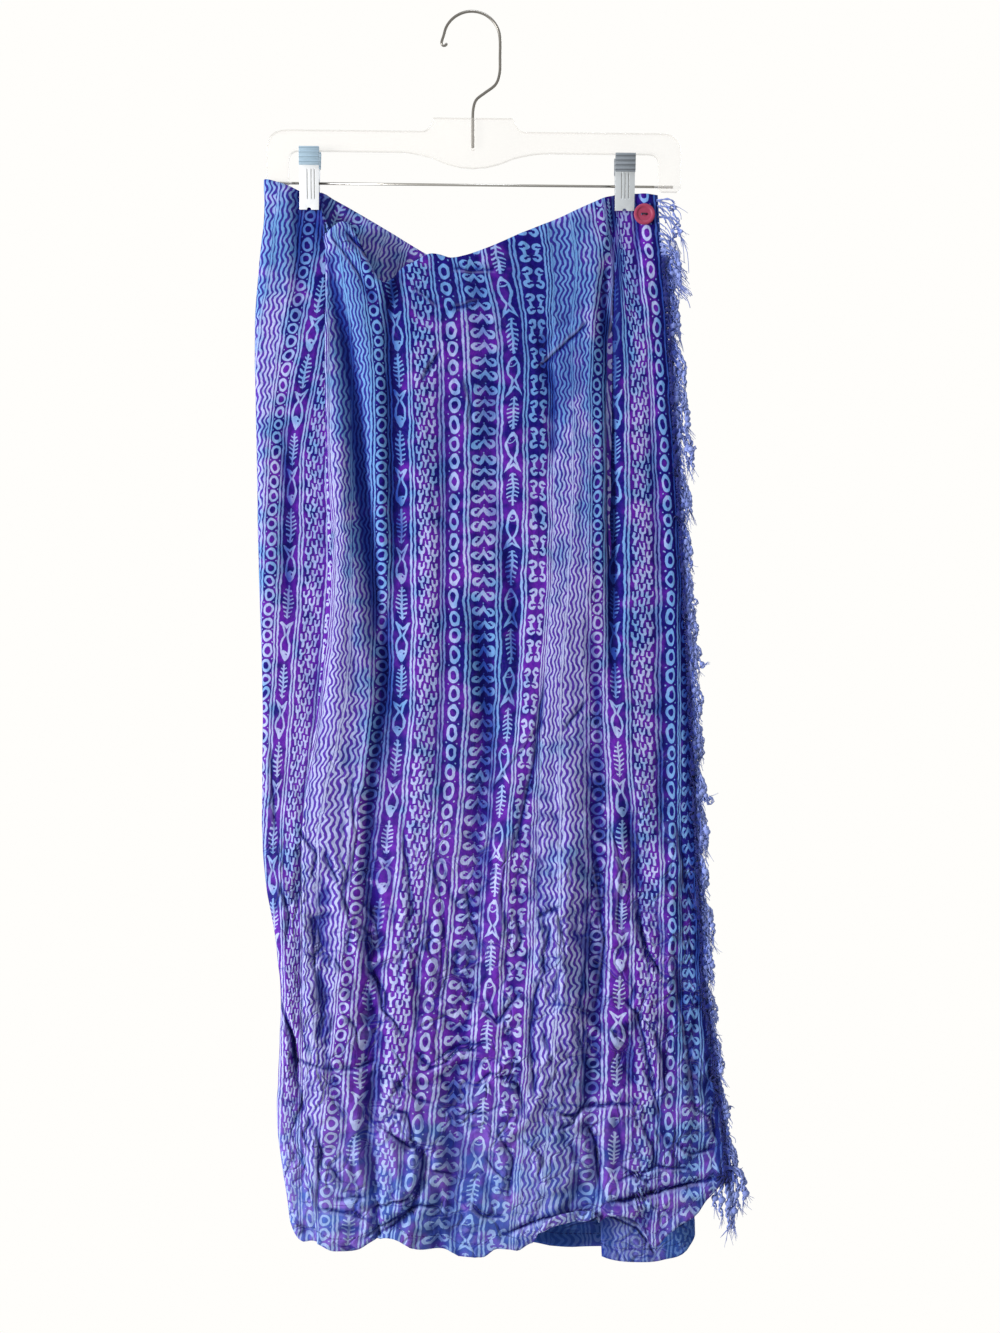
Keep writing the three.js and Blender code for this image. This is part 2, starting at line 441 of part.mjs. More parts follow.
// Clips: two bent steel plates that turn on the rod, gripped by a coil spring, with ribbed caps.
for (const c of CLIPS) {
  const grip = c.top - 15.6; // lower edge of the caps
  for (const [side, face] of [["front", -1], ["back", 1]]) {
    // side profile of the plate, jaw to grip: distance from the mid plane and height
    const centre = [
      { y: JAW_Y + PLATE / 2, z: c.foot }, { y: JAW_Y + PLATE / 2, z: -158 }, { y: 4.6, z: -152.5 }, { y: 5.2, z: -146 },
      { y: 6.4, z: grip }, { y: 8.8, z: c.top - 2.2 },
    ];
    const profile = new THREE.Shape();
    const offset = (k, s) => {
      const a = centre[Math.max(0, k - 1)], b = centre[Math.min(centre.length - 1, k + 1)];
      const len = Math.hypot(b.y - a.y, b.z - a.z);
      return [centre[k].y + ((s * PLATE) / 2) * ((b.z - a.z) / len), centre[k].z - ((s * PLATE) / 2) * ((b.y - a.y) / len)];
    };
    centre.forEach((_, k) => profile[k ? "lineTo" : "moveTo"](...offset(k, 1)));
    [...centre.keys()].reverse().forEach((k) => profile.lineTo(...offset(k, -1)));
    profile.closePath();
    const sheet = new THREE.ExtrudeGeometry(profile, { depth: CLIP_W, bevelEnabled: false });
    sheet.translate(0, 0, -CLIP_W / 2);
    // local x is depth, y is height, z is across: turn it upright
    const upright = new THREE.Matrix4().makeBasis(new THREE.Vector3(0, 1, 0), new THREE.Vector3(0, 0, 1), new THREE.Vector3(1, 0, 0));
    sheet.applyMatrix4(upright);
    const notch = new THREE.CylinderGeometry(1.8, 1.8, 8, 16).translate(0, JAW_Y + 0.4, c.foot + 0.2);
    let g = cut(sheet, notch);
    if (face < 0) g = flip(g.applyMatrix4(new THREE.Matrix4().makeScale(1, -1, 1)));
    add(inside, `${c.name}_clip_${side}`, g, BRIGHT).position.set(c.x, 0, 0);

    // cap: a slotted sleeve over the plate's upper end, with four ribs outside
    const slope = (8.8 - 6.4) / (c.top - 2.2 - grip);
    const lineY = (z) => 6.4 + slope * (z - grip);
    const cap = new THREE.Shape();
    const slot = PLATE / 2 + GAP, z0 = grip + 0.4, z1 = c.top, roof = c.top - 2.2 + 0.4;
    cap.moveTo(lineY(z0) + slot, z0);
    cap.lineTo(lineY(roof) + slot, roof);
    cap.lineTo(lineY(roof) - slot, roof);
    cap.lineTo(lineY(z0) - slot, z0);
    cap.lineTo(lineY(z0) - slot - 1, z0);
    cap.lineTo(lineY(z1) - slot - 1, z1);
    cap.lineTo(lineY(z1) + slot + 1, z1);
    const ribs = 4, pitch = (z1 - z0) / ribs;
    for (let k = 0; k < ribs; k++)
      for (const [drop, out] of [[0.15, 1.9], [0.6, 1.9], [0.75, 1.1], [0.98, 1.1]]) {
        const z = z1 - (k + drop) * pitch;
        cap.lineTo(lineY(z) + slot + out, z);
      }
    cap.closePath();
    const capG = new THREE.ExtrudeGeometry(cap, { depth: CLIP_W + 0.6, bevelEnabled: false });
    capG.translate(0, 0, -(CLIP_W + 0.6) / 2);
    capG.applyMatrix4(upright);
    const cg = face < 0 ? flip(mergeVertices(strip(capG), 1e-4).applyMatrix4(new THREE.Matrix4().makeScale(1, -1, 1))) : mergeVertices(strip(capG), 1e-4);
    add(inside, `${c.name}_clip_${side}_cap`, cg, GRIP).position.set(c.x, 0, 0);
  }
  const ring = [[ROD_D / 2 + GAP, -6.5], [3.4, -6.5], [3.4, 6.5], [ROD_D / 2 + GAP, 6.5], [ROD_D / 2 + GAP, -6.5]].map(([a, b]) => new THREE.Vector2(a, b));
  add(inside, `${c.name}_clip_spring`, new THREE.LatheGeometry(ring, 24).rotateZ(Math.PI / 2), STEEL).position.set(c.x, 0, ROD_Z);
}
function strip(g) {
  g.deleteAttribute("normal");
  g.deleteAttribute("uv");
  return g;
}

export default skirt;
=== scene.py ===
import math
import bpy
import bmesh
import numpy as np
from mathutils import Matrix, Vector


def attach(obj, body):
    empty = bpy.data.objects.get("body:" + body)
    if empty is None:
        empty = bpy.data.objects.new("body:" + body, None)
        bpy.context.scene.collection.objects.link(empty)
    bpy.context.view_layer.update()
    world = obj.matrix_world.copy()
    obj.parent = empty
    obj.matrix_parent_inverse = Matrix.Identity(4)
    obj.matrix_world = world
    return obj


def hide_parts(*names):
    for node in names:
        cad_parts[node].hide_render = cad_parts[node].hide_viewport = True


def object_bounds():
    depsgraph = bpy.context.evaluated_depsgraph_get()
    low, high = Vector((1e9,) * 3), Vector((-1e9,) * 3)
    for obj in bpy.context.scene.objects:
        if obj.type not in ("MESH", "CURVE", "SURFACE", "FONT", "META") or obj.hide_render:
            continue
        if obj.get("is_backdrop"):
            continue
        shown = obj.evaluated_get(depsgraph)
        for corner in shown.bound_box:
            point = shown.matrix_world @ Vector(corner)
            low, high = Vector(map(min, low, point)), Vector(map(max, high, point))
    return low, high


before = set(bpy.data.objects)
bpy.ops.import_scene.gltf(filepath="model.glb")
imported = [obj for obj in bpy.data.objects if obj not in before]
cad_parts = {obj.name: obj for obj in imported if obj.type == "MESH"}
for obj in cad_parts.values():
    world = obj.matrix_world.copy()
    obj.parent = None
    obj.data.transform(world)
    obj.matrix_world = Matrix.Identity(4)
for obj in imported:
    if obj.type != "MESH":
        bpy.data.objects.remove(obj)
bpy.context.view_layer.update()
MM = 0.001

# ------------------------------------------------------------------ camera, light, floor
scene = bpy.context.scene
CAM = (0.02295, -1.5816, -0.55845)
cam_data = bpy.data.cameras.new("camera")
cam_data.lens = 50.0
cam_data.sensor_width = 36.0
cam_data.sensor_fit = "AUTO"
cam_data.clip_start = 0.05
cam = bpy.data.objects.new("camera", cam_data)
cam.location = CAM
cam.rotation_euler = (math.radians(90), 0, 0)
scene.collection.objects.link(cam)
scene.camera = cam

scene.view_settings.view_transform = "Standard"
scene.view_settings.look = "None"
scene.view_settings.exposure = 0.0

world = bpy.data.worlds.new("studio")
scene.world = world
world.use_nodes = True
wn, wl = world.node_tree.nodes, world.node_tree.links
wn["Background"].inputs[0].default_value = (1.0, 0.99, 0.965, 1)
rays = wn.new("ShaderNodeLightPath")
soften = wn.new("ShaderNodeMath")
soften.operation = "MULTIPLY_ADD"
soften.inputs[1].default_value = 0.15
wl.new(rays.outputs["Is Glossy Ray"], soften.inputs[0])
wl.new(rays.outputs["Is Diffuse Ray"], soften.inputs[2])
level = wn.new("ShaderNodeMath")
level.operation = "MULTIPLY_ADD"
level.inputs[1].default_value = -0.6
level.inputs[2].default_value = 1.0
wl.new(soften.outputs[0], level.inputs[0])
wl.new(level.outputs[0], wn["Background"].inputs[1])


def area_light(name, where, toward, size, power, colour=(1, 1, 1)):
    data = bpy.data.lights.new(name, "AREA")
    data.shape = "RECTANGLE"
    data.size, data.size_y = size
    data.energy = power
    data.color = colour
    ob = bpy.data.objects.new(name, data)
    ob.location = where
    d = Vector(toward) - Vector(where)
    ob.rotation_euler = d.to_track_quat("-Z", "Y").to_euler()
    scene.collection.objects.link(ob)


area_light("key", (-2.1, -1.15, -0.35), (0, 0, -0.72), (0.5, 0.8), 76)
area_light("top", (0.2, -0.9, 1.5), (0, 0, -0.5), (0.8, 0.6), 20, (0.86, 0.91, 1.0))
area_light("behind", (1.2, 2.2, 0.3), (0, 0, -0.5), (1.4, 1.4), 26)

floor_mesh = bpy.data.meshes.new("floor")
floor_mesh.from_pydata([(-2.0, -1.6, -1.75), (2.0, -1.6, -1.75), (2.0, 1.6, -1.75), (-2.0, 1.6, -1.75)], [], [(0, 1, 2, 3)])
floor = bpy.data.objects.new("floor", floor_mesh)
scene.collection.objects.link(floor)
paint = bpy.data.materials.new("floor_paint")
paint.use_nodes = True
pn, pl_ = paint.node_tree.nodes, paint.node_tree.links
speck = pn.new("ShaderNodeTexNoise")
speck.inputs["Scale"].default_value = 3.0
tint = pn.new("ShaderNodeMix")
tint.data_type = "RGBA"
tint.inputs[6].default_value = (0.80, 0.79, 0.77, 1)
tint.inputs[7].default_value = (0.86, 0.85, 0.83, 1)
pl_.new(speck.outputs[0], tint.inputs["Factor"])
pl_.new(tint.outputs[2], pn["Principled BSDF"].inputs["Base Color"])
pn["Principled BSDF"].inputs["Roughness"].default_value = 0.85
floor_mesh.materials.append(paint)
floor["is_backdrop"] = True


# ------------------------------------------------------------------ small maths
def smooth(t):
    t = np.clip(t, 0.0, 1.0)
    return t * t * (3 - 2 * t)


def lerp(a, b, t):
    return a + (b - a) * t


def curve1(xs, ys, at):
    """Smooth curve through a table's rows (monotone in xs), held flat outside them."""
    xs, ys = np.asarray(xs, float), np.asarray(ys, float)
    if xs[0] > xs[-1]:
        xs, ys = xs[::-1], ys[::-1]
    at = np.clip(np.asarray(at, float), xs[0], xs[-1])
    i = np.clip(np.searchsorted(xs, at) - 1, 0, len(xs) - 2)
    h = xs[i + 1] - xs[i]
    t = (at - xs[i]) / h
    slope = np.diff(ys) / np.diff(xs)
    m = np.zeros(len(xs))
    m[1:-1] = (slope[:-1] + slope[1:]) / 2
    m[0], m[-1] = slope[0], slope[-1]
    flat = np.zeros(len(xs), bool)
    flat[1:-1] = slope[:-1] * slope[1:] <= 0
    m[flat] = 0
    t2, t3 = t * t, t * t * t
    return (
        (2 * t3 - 3 * t2 + 1) * ys[i]
        + (t3 - 2 * t2 + t) * h * m[i]
        + (-2 * t3 + 3 * t2) * ys[i + 1]
        + (t3 - t2) * h * m[i + 1]
    )


RNG = np.random.default_rng(7)
LATTICE = RNG.random((6, 64, 64))


def noise2(x, y, k=0):
    """Smooth noise, 0 to 1, one lattice cell for each unit."""
    xi, yi = np.floor(x).astype(int), np.floor(y).astype(int)
    fx, fy = smooth(x - xi), smooth(y - yi)
    g = LATTICE[k % 6]
    a = g[xi % 64, yi % 64]
    b = g[(xi + 1) % 64, yi % 64]
    c = g[xi % 64, (yi + 1) % 64]
    d = g[(xi + 1) % 64, (yi + 1) % 64]
    return lerp(lerp(a, b, fx), lerp(c, d, fx), fy)


def ridged(x, y, k=0):
    return 1 - np.abs(2 * noise2(x, y, k) - 1)


# ------------------------------------------------------------------ the cloth's sizes, mm
HANG, LAYER, HEM_PUFF = 6.0, 1.4, 1.8
PLEAT_LAP, PLEAT_STEP = 42.0, 2.5
WAIST_Z, PINCH_FALL, PINCH_SIDE, CLIP_W = -172.0, 110.0, 9.0, 16.6
CLIPS = {"left": (-139.2, -118.2, -170.4), "right": (129.8, -121.1, -168.6)}
THICK = 0.75  # cloth as it shows

ROW_Z = [-144.9, -174.7, -214.6, -272.4, -374.4, -467.9, -586.9, -714.4, -841.9, -939.7, -1045.9]
# Guide lines down the front: x at each height, and the place in the print that runs along it.
GUIDE = {
    "left": [-178.1, -178.2, -182.3, -186.2, -184.4, -182.8, -179.3, -178.9, -164.5, -166.6, -154.7],
    "pleat": [-128.5, -128.5, -125.8, -126.1, -125.2, -123.4, -131.8, -145.3, -143.7, -144.5, -131.8],
    "waves": [-120.5, -118.5, -112.2, -104.5, -103.3, -103.3, -108.0, -131.8, -131.8, -136.0, -128.3],
    "rings": [-102.8, -97.8, -91.0, -81.9, -77.3, -78.2, -78.5, -93.5, -109.2, -119.0, -126.6],
    "branch": [-62.0, -58.6, -48.4, -43.4, -40.8, -37.8, -39.5, -47.6, -62.0, -70.5, -79.0],
    "ovals": [-34.9, -33.1, -26.3, -18.3, -15.6, -16.5, -16.7, -25.0, -37.4, -46.3, -60.4],
    "scroll": [-9.3, -7.6, -1.7, 8.5, 8.9, 8.9, 8.8, 0.8, -10.6, -18.7, -31.4],
    "fern": [12.8, 15.3, 21.0, 33.1, 34.0, 33.1, 30.4, 20.4, 13.4, 8.5, -6.0],
    "curls": [41.6, 45.0, 50.6, 55.2, 55.8, 55.8, 48.4, 39.5, 34.4, 29.3, 20.4],
    "waves2": [79.0, 82.5, 88.4, 84.1, 85.0, 82.0, 74.0, 73.5, 70.5, 63.8, 55.2],
    "rings2": [106.2, 110.1, 117.1, 108.0, 105.1, 106.0, 105.2, 106.8, 103.6, 100.3, 92.6],
    "fish2": [113.0, 116.5, 121.1, 120.7, 121.5, 119.8, 121.5, 127.2, 123.9, 120.7, 116.5],
    "branch2": [123.2, 125.0, 130.0, 138.5, 143.7, 144.1, 143.2, 147.9, 147.9, 145.8, 141.9],
    "ovals2": [144.5, 147.0, 150.8, 156.7, 162.3, 167.8, 168.7, 169.5, 168.6, 165.8, 160.7],
    "edge": [156.4, 158.1, 161.5, 165.8, 171.7, 177.7, 183.6, 189.5, 197.2, 210.8, 220.2],
    "back": [153.8, 155.5, 158.1, 160.7, 164.9, 169.2, 175.1, 181.0, 187.8, 190.4, 189.5],
}
PRINT_LEFT = [6, 9, 10, 16, 30, 38, 48, 57, 76, 77, 98]  # at the left fold
PRINT_UNDER = [56, 59, 66, 76.5, 101, 103, 105, 102, 107, 109, 122]  # where the pleat hides it
PRINT_RIDGE = [208, 207, 204, 196.5, 193, 186, 192, 205, 206.5, 222.5, 242.5]  # where it comes out again
PRINT_WAVES = [218, 218, 218, 218, 218.5, 218.5, 218.5, 218.5, 218.5, 231, 246]
PRINT_EDGE = [527, 527, 527, 527, 527, 530, 540, 551, 558, 572, 578]  # at the outer end
REPEAT = 200.0

FRONT_TOP = [
    (-190, -143), (-178.1, -143.2), (-164, -147), (-147, -153), (-131.8, -156.8), (-128.3, -172), (-125, -192),
    (-118.1, -186.6), (-110.5, -182.3), (-102.8, -185.7), (-96, -198.5), (-87.5, -218), (-75.6, -233.3), (-68.8, -228.5),
    (-60.4, -219.7), (-49.3, -213.8), (-34.9, -207), (-27, -208.3), (-19.6, -210.6), (6, -204.4), (39.9, -190), (74, -176.4),
    (99.5, -164.5), (122.4, -156), (138.5, -155.1), (158, -157.7),
]
BACK_TOP = [
    (-190, -143), (-178.1, -143.2), (-147, -153), (-128.3, -153.8), (-117.3, -159.4), (-76, -183), (-34.9, -207.4),
    (-19.6, -213.8), (39.9, -195.9), (99.5, -172.1), (122.4, -158.5), (138.5, -157.7), (158, -160.2),
]
FRONT_HEM = [
    (-165, -1020), (-156.4, -1028), (-147.9, -1043), (-134, -1045), (-116.5, -1053), (-98.6, -1052.5), (-82, -1043),
    (-70, -1041), (-50, -1050.2), (-19.6, -1053.6), (-12, -1058), (7.6, -1058), (21, -1050.5), (30, -1051), (37.4, -1052.3),
    (50, -1046), (58, -1047.5), (68, -1042), (86.7, -1038.5), (100, -1037), (110, -1026), (116, -1022.5), (136, -1026), (142, -1033),
    (149.5, -1046), (155, -1048.5), (163, -1040), (171.7, -1032.3), (190.4, -1020.5), (198, -1009.4), (207.4, -1000), (222, -981),
]
CURL = (50, 108, 15.0, 3.2)  # from x, to x, length of cloth turned up and radius of the hem's roll
BACK_HEM = [
    (-165, -1016), (-147.9, -1036), (-98, -1045), (-50, -1043), (22.9, -1051), (43.4, -1052), (72.2, -1056.5), (112, -1057),
    (163.2, -1055), (183.6, -1050), (190.5, -1042.5),
]
UNDER_HEM = [(100, -1056), (113, -1063.5), (144.5, -1067.2), (163.2, -1065), (183.6, -1056), (190.5, -1042.5)]
UNDER_END = [(-150, 74), (-600, 92), (-1068, 110)]


def guide(name, z):
    x = curve1(ROW_Z, GUIDE[name], z)
    if name in ("left", "back", "edge"):
        # the falling edges aren't straight: small bumps, larger low down
        k = {"left": 0.0, "back": 17.0, "edge": 31.0}[name]
        z = np.asarray(z, float)
        x = x + (0.5 + 1.7 * smooth((-560 - z) / 300)) * (noise2(z / 34 + k, z * 0 + k + 0.5, 2) + 0.6 * noise2(z / 15 + k, z * 0 + k + 3.5, 3) - 0.8)
    return x


def table(rows, at):
    r = np.array(rows, float)
    return curve1(r[:, 0], r[:, 1], at)


def pinch(x, z):
    down = 1 - smooth((WAIST_Z - z) / PINCH_FALL)
    return np.maximum.reduce([(1 - smooth((np.abs(x - c[0]) - CLIP_W / 2 - 1) / PINCH_SIDE)) * down for c in CLIPS.values()])


def depth(free, x, z):
    return lerp(free * lerp(1, HEM_PUFF, smooth((WAIST_Z - z) / 850)), free / HANG * LAYER, pinch(x, z))


# ------------------------------------------------------------------ creases and folds of the front
# Long soft folds: (points down the fold in mm, half width, depth towards the wall; minus stands out).
SOFT_FOLDS = [
    ([(-126, -205), (-109, -272), (-100, -332), (-94, -400), (-86, -468), (-79, -536), (-75, -587)], 9.0, 7.2),
    ([(-124, -330), (-114, -349), (-113, -450), (-116, -560), (-118, -672)], 10, -2.2),
    ([(118, -187), (113, -250), (117, -350), (119, -450), (120, -587)], 5.2, 6.4),
    ([(104, -200), (101, -300), (102, -420), (100, -520)], 8, -2.4),
    ([(-2, -500), (10, -560), (13, -638)], 9, 2.2),
    ([(27, -434), (36, -520), (34, -638)], 8, 2.4),
    ([(57, -272), (70, -330), (66, -400)], 9, 1.8),
    ([(-58, -260), (-52, -340), (-50, -450)], 12, -1.8),
    ([(-28, -300), (-24, -420), (-26, -560), (-32, -700)], 10, 1.6),
    ([(88, -620), (84, -700), (80, -800), (74, -900)], 13, -2.6),
    ([(44, -560), (34, -640), (26, -720), (18, -820)], 11, -2.0),
    ([(-160, -330), (-158, -450), (-156, -560)], 8, 1.5),
    ([(150, -300), (157, -450), (160, -600), (163, -740)], 8, 1.6),
    ([(-122, -700), (-128, -780), (-124, -860), (-118, -930)], 8, 2.6),
    ([(-150, -640), (-158, -760), (-152, -870)], 9, -1.8),
    ([(132, -640), (140, -760), (138, -880), (132, -960)], 9, 2.0),
]
# Sharp creases: (points, half width, height; the low side lies to the left going down it).
CREASES = [
    ([(96, -588.6), (76.5, -612.4)], 2.6, 1.2), ([(62, -601.4), (16.2, -663.4)], 2.2, 0.8),
    ([(122.5, -193), (121.5, -228), (118, -290), (115, -350), (114.5, -430), (116, -500)], 2.6, 2.8),
    ([(-131, -948), (-129.2, -974.5), (-132.6, -1017)], 3.0, 2.2), ([(-125, -716), (-113, -745)], 3.0, 1.6),
    ([(-99.5, -774), (-90, -786), (-88.4, -818), (-74, -834.3), (-72.3, -849.6)], 3.2, 2.2),
    ([(-117, -804.5), (-111.4, -816.4)], 2.8, 1.5), ([(-165, -833.4), (-154.7, -868.3), (-148, -905.7)], 3.4, 2.2),
    ([(-137, -761.2), (-133.5, -808), (-128.4, -850.4)], 3.2, 1.9), ([(5.1, -845.3), (20.4, -860.6), (40, -834.3)], 3.0, 1.8),
    ([(-99.5, -897.2), (-82.5, -892)], 2.6, 1.6), ([(-39.1, -895.5), (-10.2, -878.5), (13.6, -877.6)], 3.0, 1.8),
    ([(18.7, -904.8), (40, -904.8)], 2.6, 1.4), ([(55.3, -770.5), (72.3, -760.3)], 2.8, 1.5),
    ([(140.3, -753.5), (142, -786.7), (151.3, -827.5)], 3.2, 2.0), ([(124.1, -835), (140.3, -854.7), (151.3, -900.6), (156.4, -916.7)], 3.2, 2.2),
    ([(174.3, -692.3), (181, -751)], 3.2, 1.8), ([(-88.4, -942.2), (-69.7, -954.1), (-53.6, -964.3), (-41.7, -966), (-43.4, -994.9), (-53.6, -1020.4), (-90, -1046)], 4.6, 3.4),
    ([(-35.7, -983.9), (-15.3, -990.7)], 2.8, 1.7), ([(-2.6, -1011), (9.4, -1023), (27.2, -1023)], 2.8, 1.8),
    ([(-120.7, -980.5), (-108.8, -994.9)], 3.0, 1.7), ([(-130.9, -1017), (-94.4, -1020.4), (-87.6, -1017)], 3.0, 1.8),
    ([(-116.5, -1008.5), (-87.6, -1006)], 2.6, 1.4), ([(-160.7, -992.4), (-154.7, -980.5)], 3.0, 1.8),
    ([(35.7, -905.7), (43.4, -930.3)], 2.8, 1.7), ([(65.5, -952.4), (84.2, -946.5), (91, -933.7), (136, -929.5)], 3.0, 1.7),
    ([(94.4, -946.5), (103.7, -960), (108, -1001.7)], 4.2, 3.6), ([(144.5, -896.3), (153.9, -922.7), (159.8, -939.7)], 3.0, 2.0),
    ([(142.8, -944.8), (152.2, -963.5), (155.6, -981.3)], 3.0, 2.0), ([(124.1, -982.2), (152.2, -996.6)], 2.8, 1.8),
    ([(-17, -220.6), (21, -220.6)], 2.2, 1.6), ([(-20.4, -253.7), (-5.9, -253.7)], 2.0, 1.0),
    ([(-109, -188), (-96, -202), (-84, -220), (-76, -233)], 4.0, 3.0),
    ([(62, -560), (52, -640), (30, -735)], 3.4, 1.2), ([(-60, -690), (-52, -760), (-64, -830)], 3.2, 1.4),
    ([(-38, -700), (-24, -770), (-30, -840)], 3.0, 1.2), ([(100, -700), (112, -790), (104, -860)], 3.2, 1.6),
    ([(60, -800), (48, -870), (54, -930)], 3.0, 1.5), ([(170, -800), (182, -880), (190, -950)], 3.2, 1.6),
    ([(-8, -740), (6, -800)], 2.6, 1.2), ([(84, -850), (96, -900), (92, -930)], 3.0, 1.5),
    ([(-172, -620), (-168, -700)], 3.0, 1.2), ([(-70, -905), (-46, -925), (-30, -930)], 2.8, 1.5),
    ([(20, -950), (34, -975), (30, -1010)], 3.0, 1.8), ([(170, -960), (186, -972), (205, -968)], 3.0, 1.8),
    ([(112, -1012), (130, -1011), (147, -1006), (178, -1000), (208, -991)], 3.4, 4.2),
]
# Thin creases, the same way.
FINE = [
    ([(-114, -716), (-107, -733), (-110, -751), (-103, -778), (-107, -804)], 1.6, 1.6),
    ([(-90, -809), (-81, -826), (-76, -849), (-61, -866), (-54, -875)], 1.8, 2.0),
    ([(-132, -773), (-127, -795), (-136, -804)], 1.6, 1.6), ([(-170, -826), (-158, -862), (-152, -875), (-152, -898)], 2.6, 2.8),
    ([(-163, -889), (-123, -898), (-87, -898)], 1.4, 1.3), ([(-123, -835), (-130, -862), (-132, -880)], 1.4, 1.4),
    ([(-136, -937), (-143, -955), (-134, -973)], 1.4, 1.5), ([(-72, -931), (-56, -937), (-48, -964), (-45, -977)], 1.8, 2.0),
    ([(-70, -875), (-56, -902), (-70, -924)], 1.4, 1.4), ([(-43, -902), (-23, -893), (-12, -884), (8, -884)], 1.8, 2.0),
    ([(1, -915), (15, -902), (37, -911), (41, -924)], 1.6, 1.8), ([(37, -769), (41, -791), (35, -804)], 1.6, 1.6),
    ([(55, -769), (72, -764), (77, -795), (81, -818)], 1.6, 1.6), ([(72, -937), (88, -940), (95, -929)], 1.6, 2.0),
    ([(95, -931), (117, -929), (139, -931)], 1.4, 1.6), ([(139, -773), (148, -800), (161, -822)], 2.4, 2.6),
    ([(139, -849), (154, -866), (161, -893), (163, -920)], 2.0, 2.2), ([(117, -866), (130, -880)], 1.4, 1.4),
    ([(121, -995), (157, -982), (188, -986)], 1.6, 1.8), ([(24, -1040), (59, -1026), (95, -1022), (112, -1026)], 2.4, 2.6),
    ([(-96, -1044), (-70, -1026), (-43, -1013), (-25, -1017)], 2.0, 2.2), ([(-123, -1017), (-87, -1026)], 1.4, 1.4),
    ([(-43, -991), (-56, -1008), (-87, -1017)], 1.6, 1.8), ([(59, -866), (66, -889), (59, -902)], 1.4, 1.3),
    ([(10, -973), (24, -991), (32, -995)], 1.4, 1.4), ([(-56, -791), (-43, -809)], 1.4, 1.3),
    ([(-96, -755), (-83, -773), (-79, -791)], 1.6, 1.6), ([(-48, -884), (-34, -898)], 1.4, 1.3),
    ([(183, -929), (201, -942), (208, -964)], 1.8, 1.8), ([(192, -733), (201, -760), (205, -787)], 1.6, 1.6),
    ([(-12, -937), (10, -937), (24, -929)], 1.4, 1.4), ([(41, -955), (59, -973), (55, -995)], 1.4, 1.4),
    ([(66, -778), (59, -804), (63, -831)], 1.4, 1.4), ([(-163, -742), (-156, -769), (-158, -791)], 1.4, 1.5),
    ([(-147, -698), (-132, -716), (-136, -738)], 1.6, 1.6), ([(103, -716), (112, -747), (108, -769)], 1.4, 1.3),
    ([(-120, -193), (-109, -207), (-97, -224), (-92, -236)], 2.0, 1.8), ([(-103, -186), (-92, -197), (-83, -212), (-80, -220)], 1.8, 1.5),
    ([(100, -265), (82, -281), (70, -293), (55, -304)], 2.2, 2.0), ([(5, -248), (-24, -256)], 1.6, 1.3), ([(-27, -289), (-36, -303), (-44, -317)], 1.8, 1.4),
    ([(-6, -313), (-2, -335), (-3, -359)], 1.4, 1.1), ([(-52, -236), (-40, -243), (-29, -252)], 1.6, 1.2),
    ([(-104, -655), (-98, -700), (-106, -748)], 1.6, 1.2), ([(30, -700), (24, -752), (30, -790)], 1.4, 1.2),
    ([(118, -690), (126, -735), (122, -790)], 1.5, 1.3), ([(-30, -760), (-20, -800), (-26, -842)], 1.4, 1.2),
    ([(96, -800), (90, -846), (98, -880)], 1.5, 1.3), ([(-112, -846), (-100, -862), (-96, -884)], 1.5, 1.4),
]


def to_line(x, z, pts):
    """Distance to a polyline, the signed side, and how far along it, 0 to 1."""
    best = np.full(x.shape, 1e9)
    side = np.zeros(x.shape)
    along = np.zeros(x.shape)
    seg = [math.dist(pts[i], pts[i + 1]) for i in range(len(pts) - 1)]
    total, run = sum(seg), 0.0
    for (ax, az), (bx, bz), length in zip(pts, pts[1:], seg):
        dx, dz = bx - ax, bz - az
        t = np.clip(((x - ax) * dx + (z - az) * dz) / (length * length), 0, 1)
        d = np.hypot(x - ax - t * dx, z - az - t * dz)
        near = d < best
        best = np.where(near, d, best)
        side = np.where(near, (dx * (z - az) - dz * (x - ax)) / length, side)
        along = np.where(near, (run + t * length) / total, along)
        run += length
    return best, side, along


def crease_field(x, z, lines):
    """Signed distance to the nearest crease, and its strength: they carry a crisp line across the mesh's cells."""
    xw = x + 3.0 * (noise2(x / 11, z / 11, 4) - 0.5)
    zw = z + 3.0 * (noise2(x / 11, z / 11, 5) - 0.5)
    near, dist, power = np.full(x.shape, 99.0), np.full(x.shape, 12.0), np.zeros(x.shape)
    for pts, w, h in lines:
        best, side, t = to_line(xw, zw, pts)
        k = np.clip(h / 2.4, 0.35, 1.0) * np.clip(6 * t, 0, 1) * np.clip(6 * (1 - t), 0, 1)
        hit = best < near
        near = np.where(hit, best, near)
        dist = np.where(hit, best * np.where(side > 0, 1.0, -1.0), dist)
        power = np.where(hit, k, power)
    return np.clip(dist, -12, 12), power * (1 - smooth((near - 3.6) / 1.6)) * (1 - pinch(x, z))


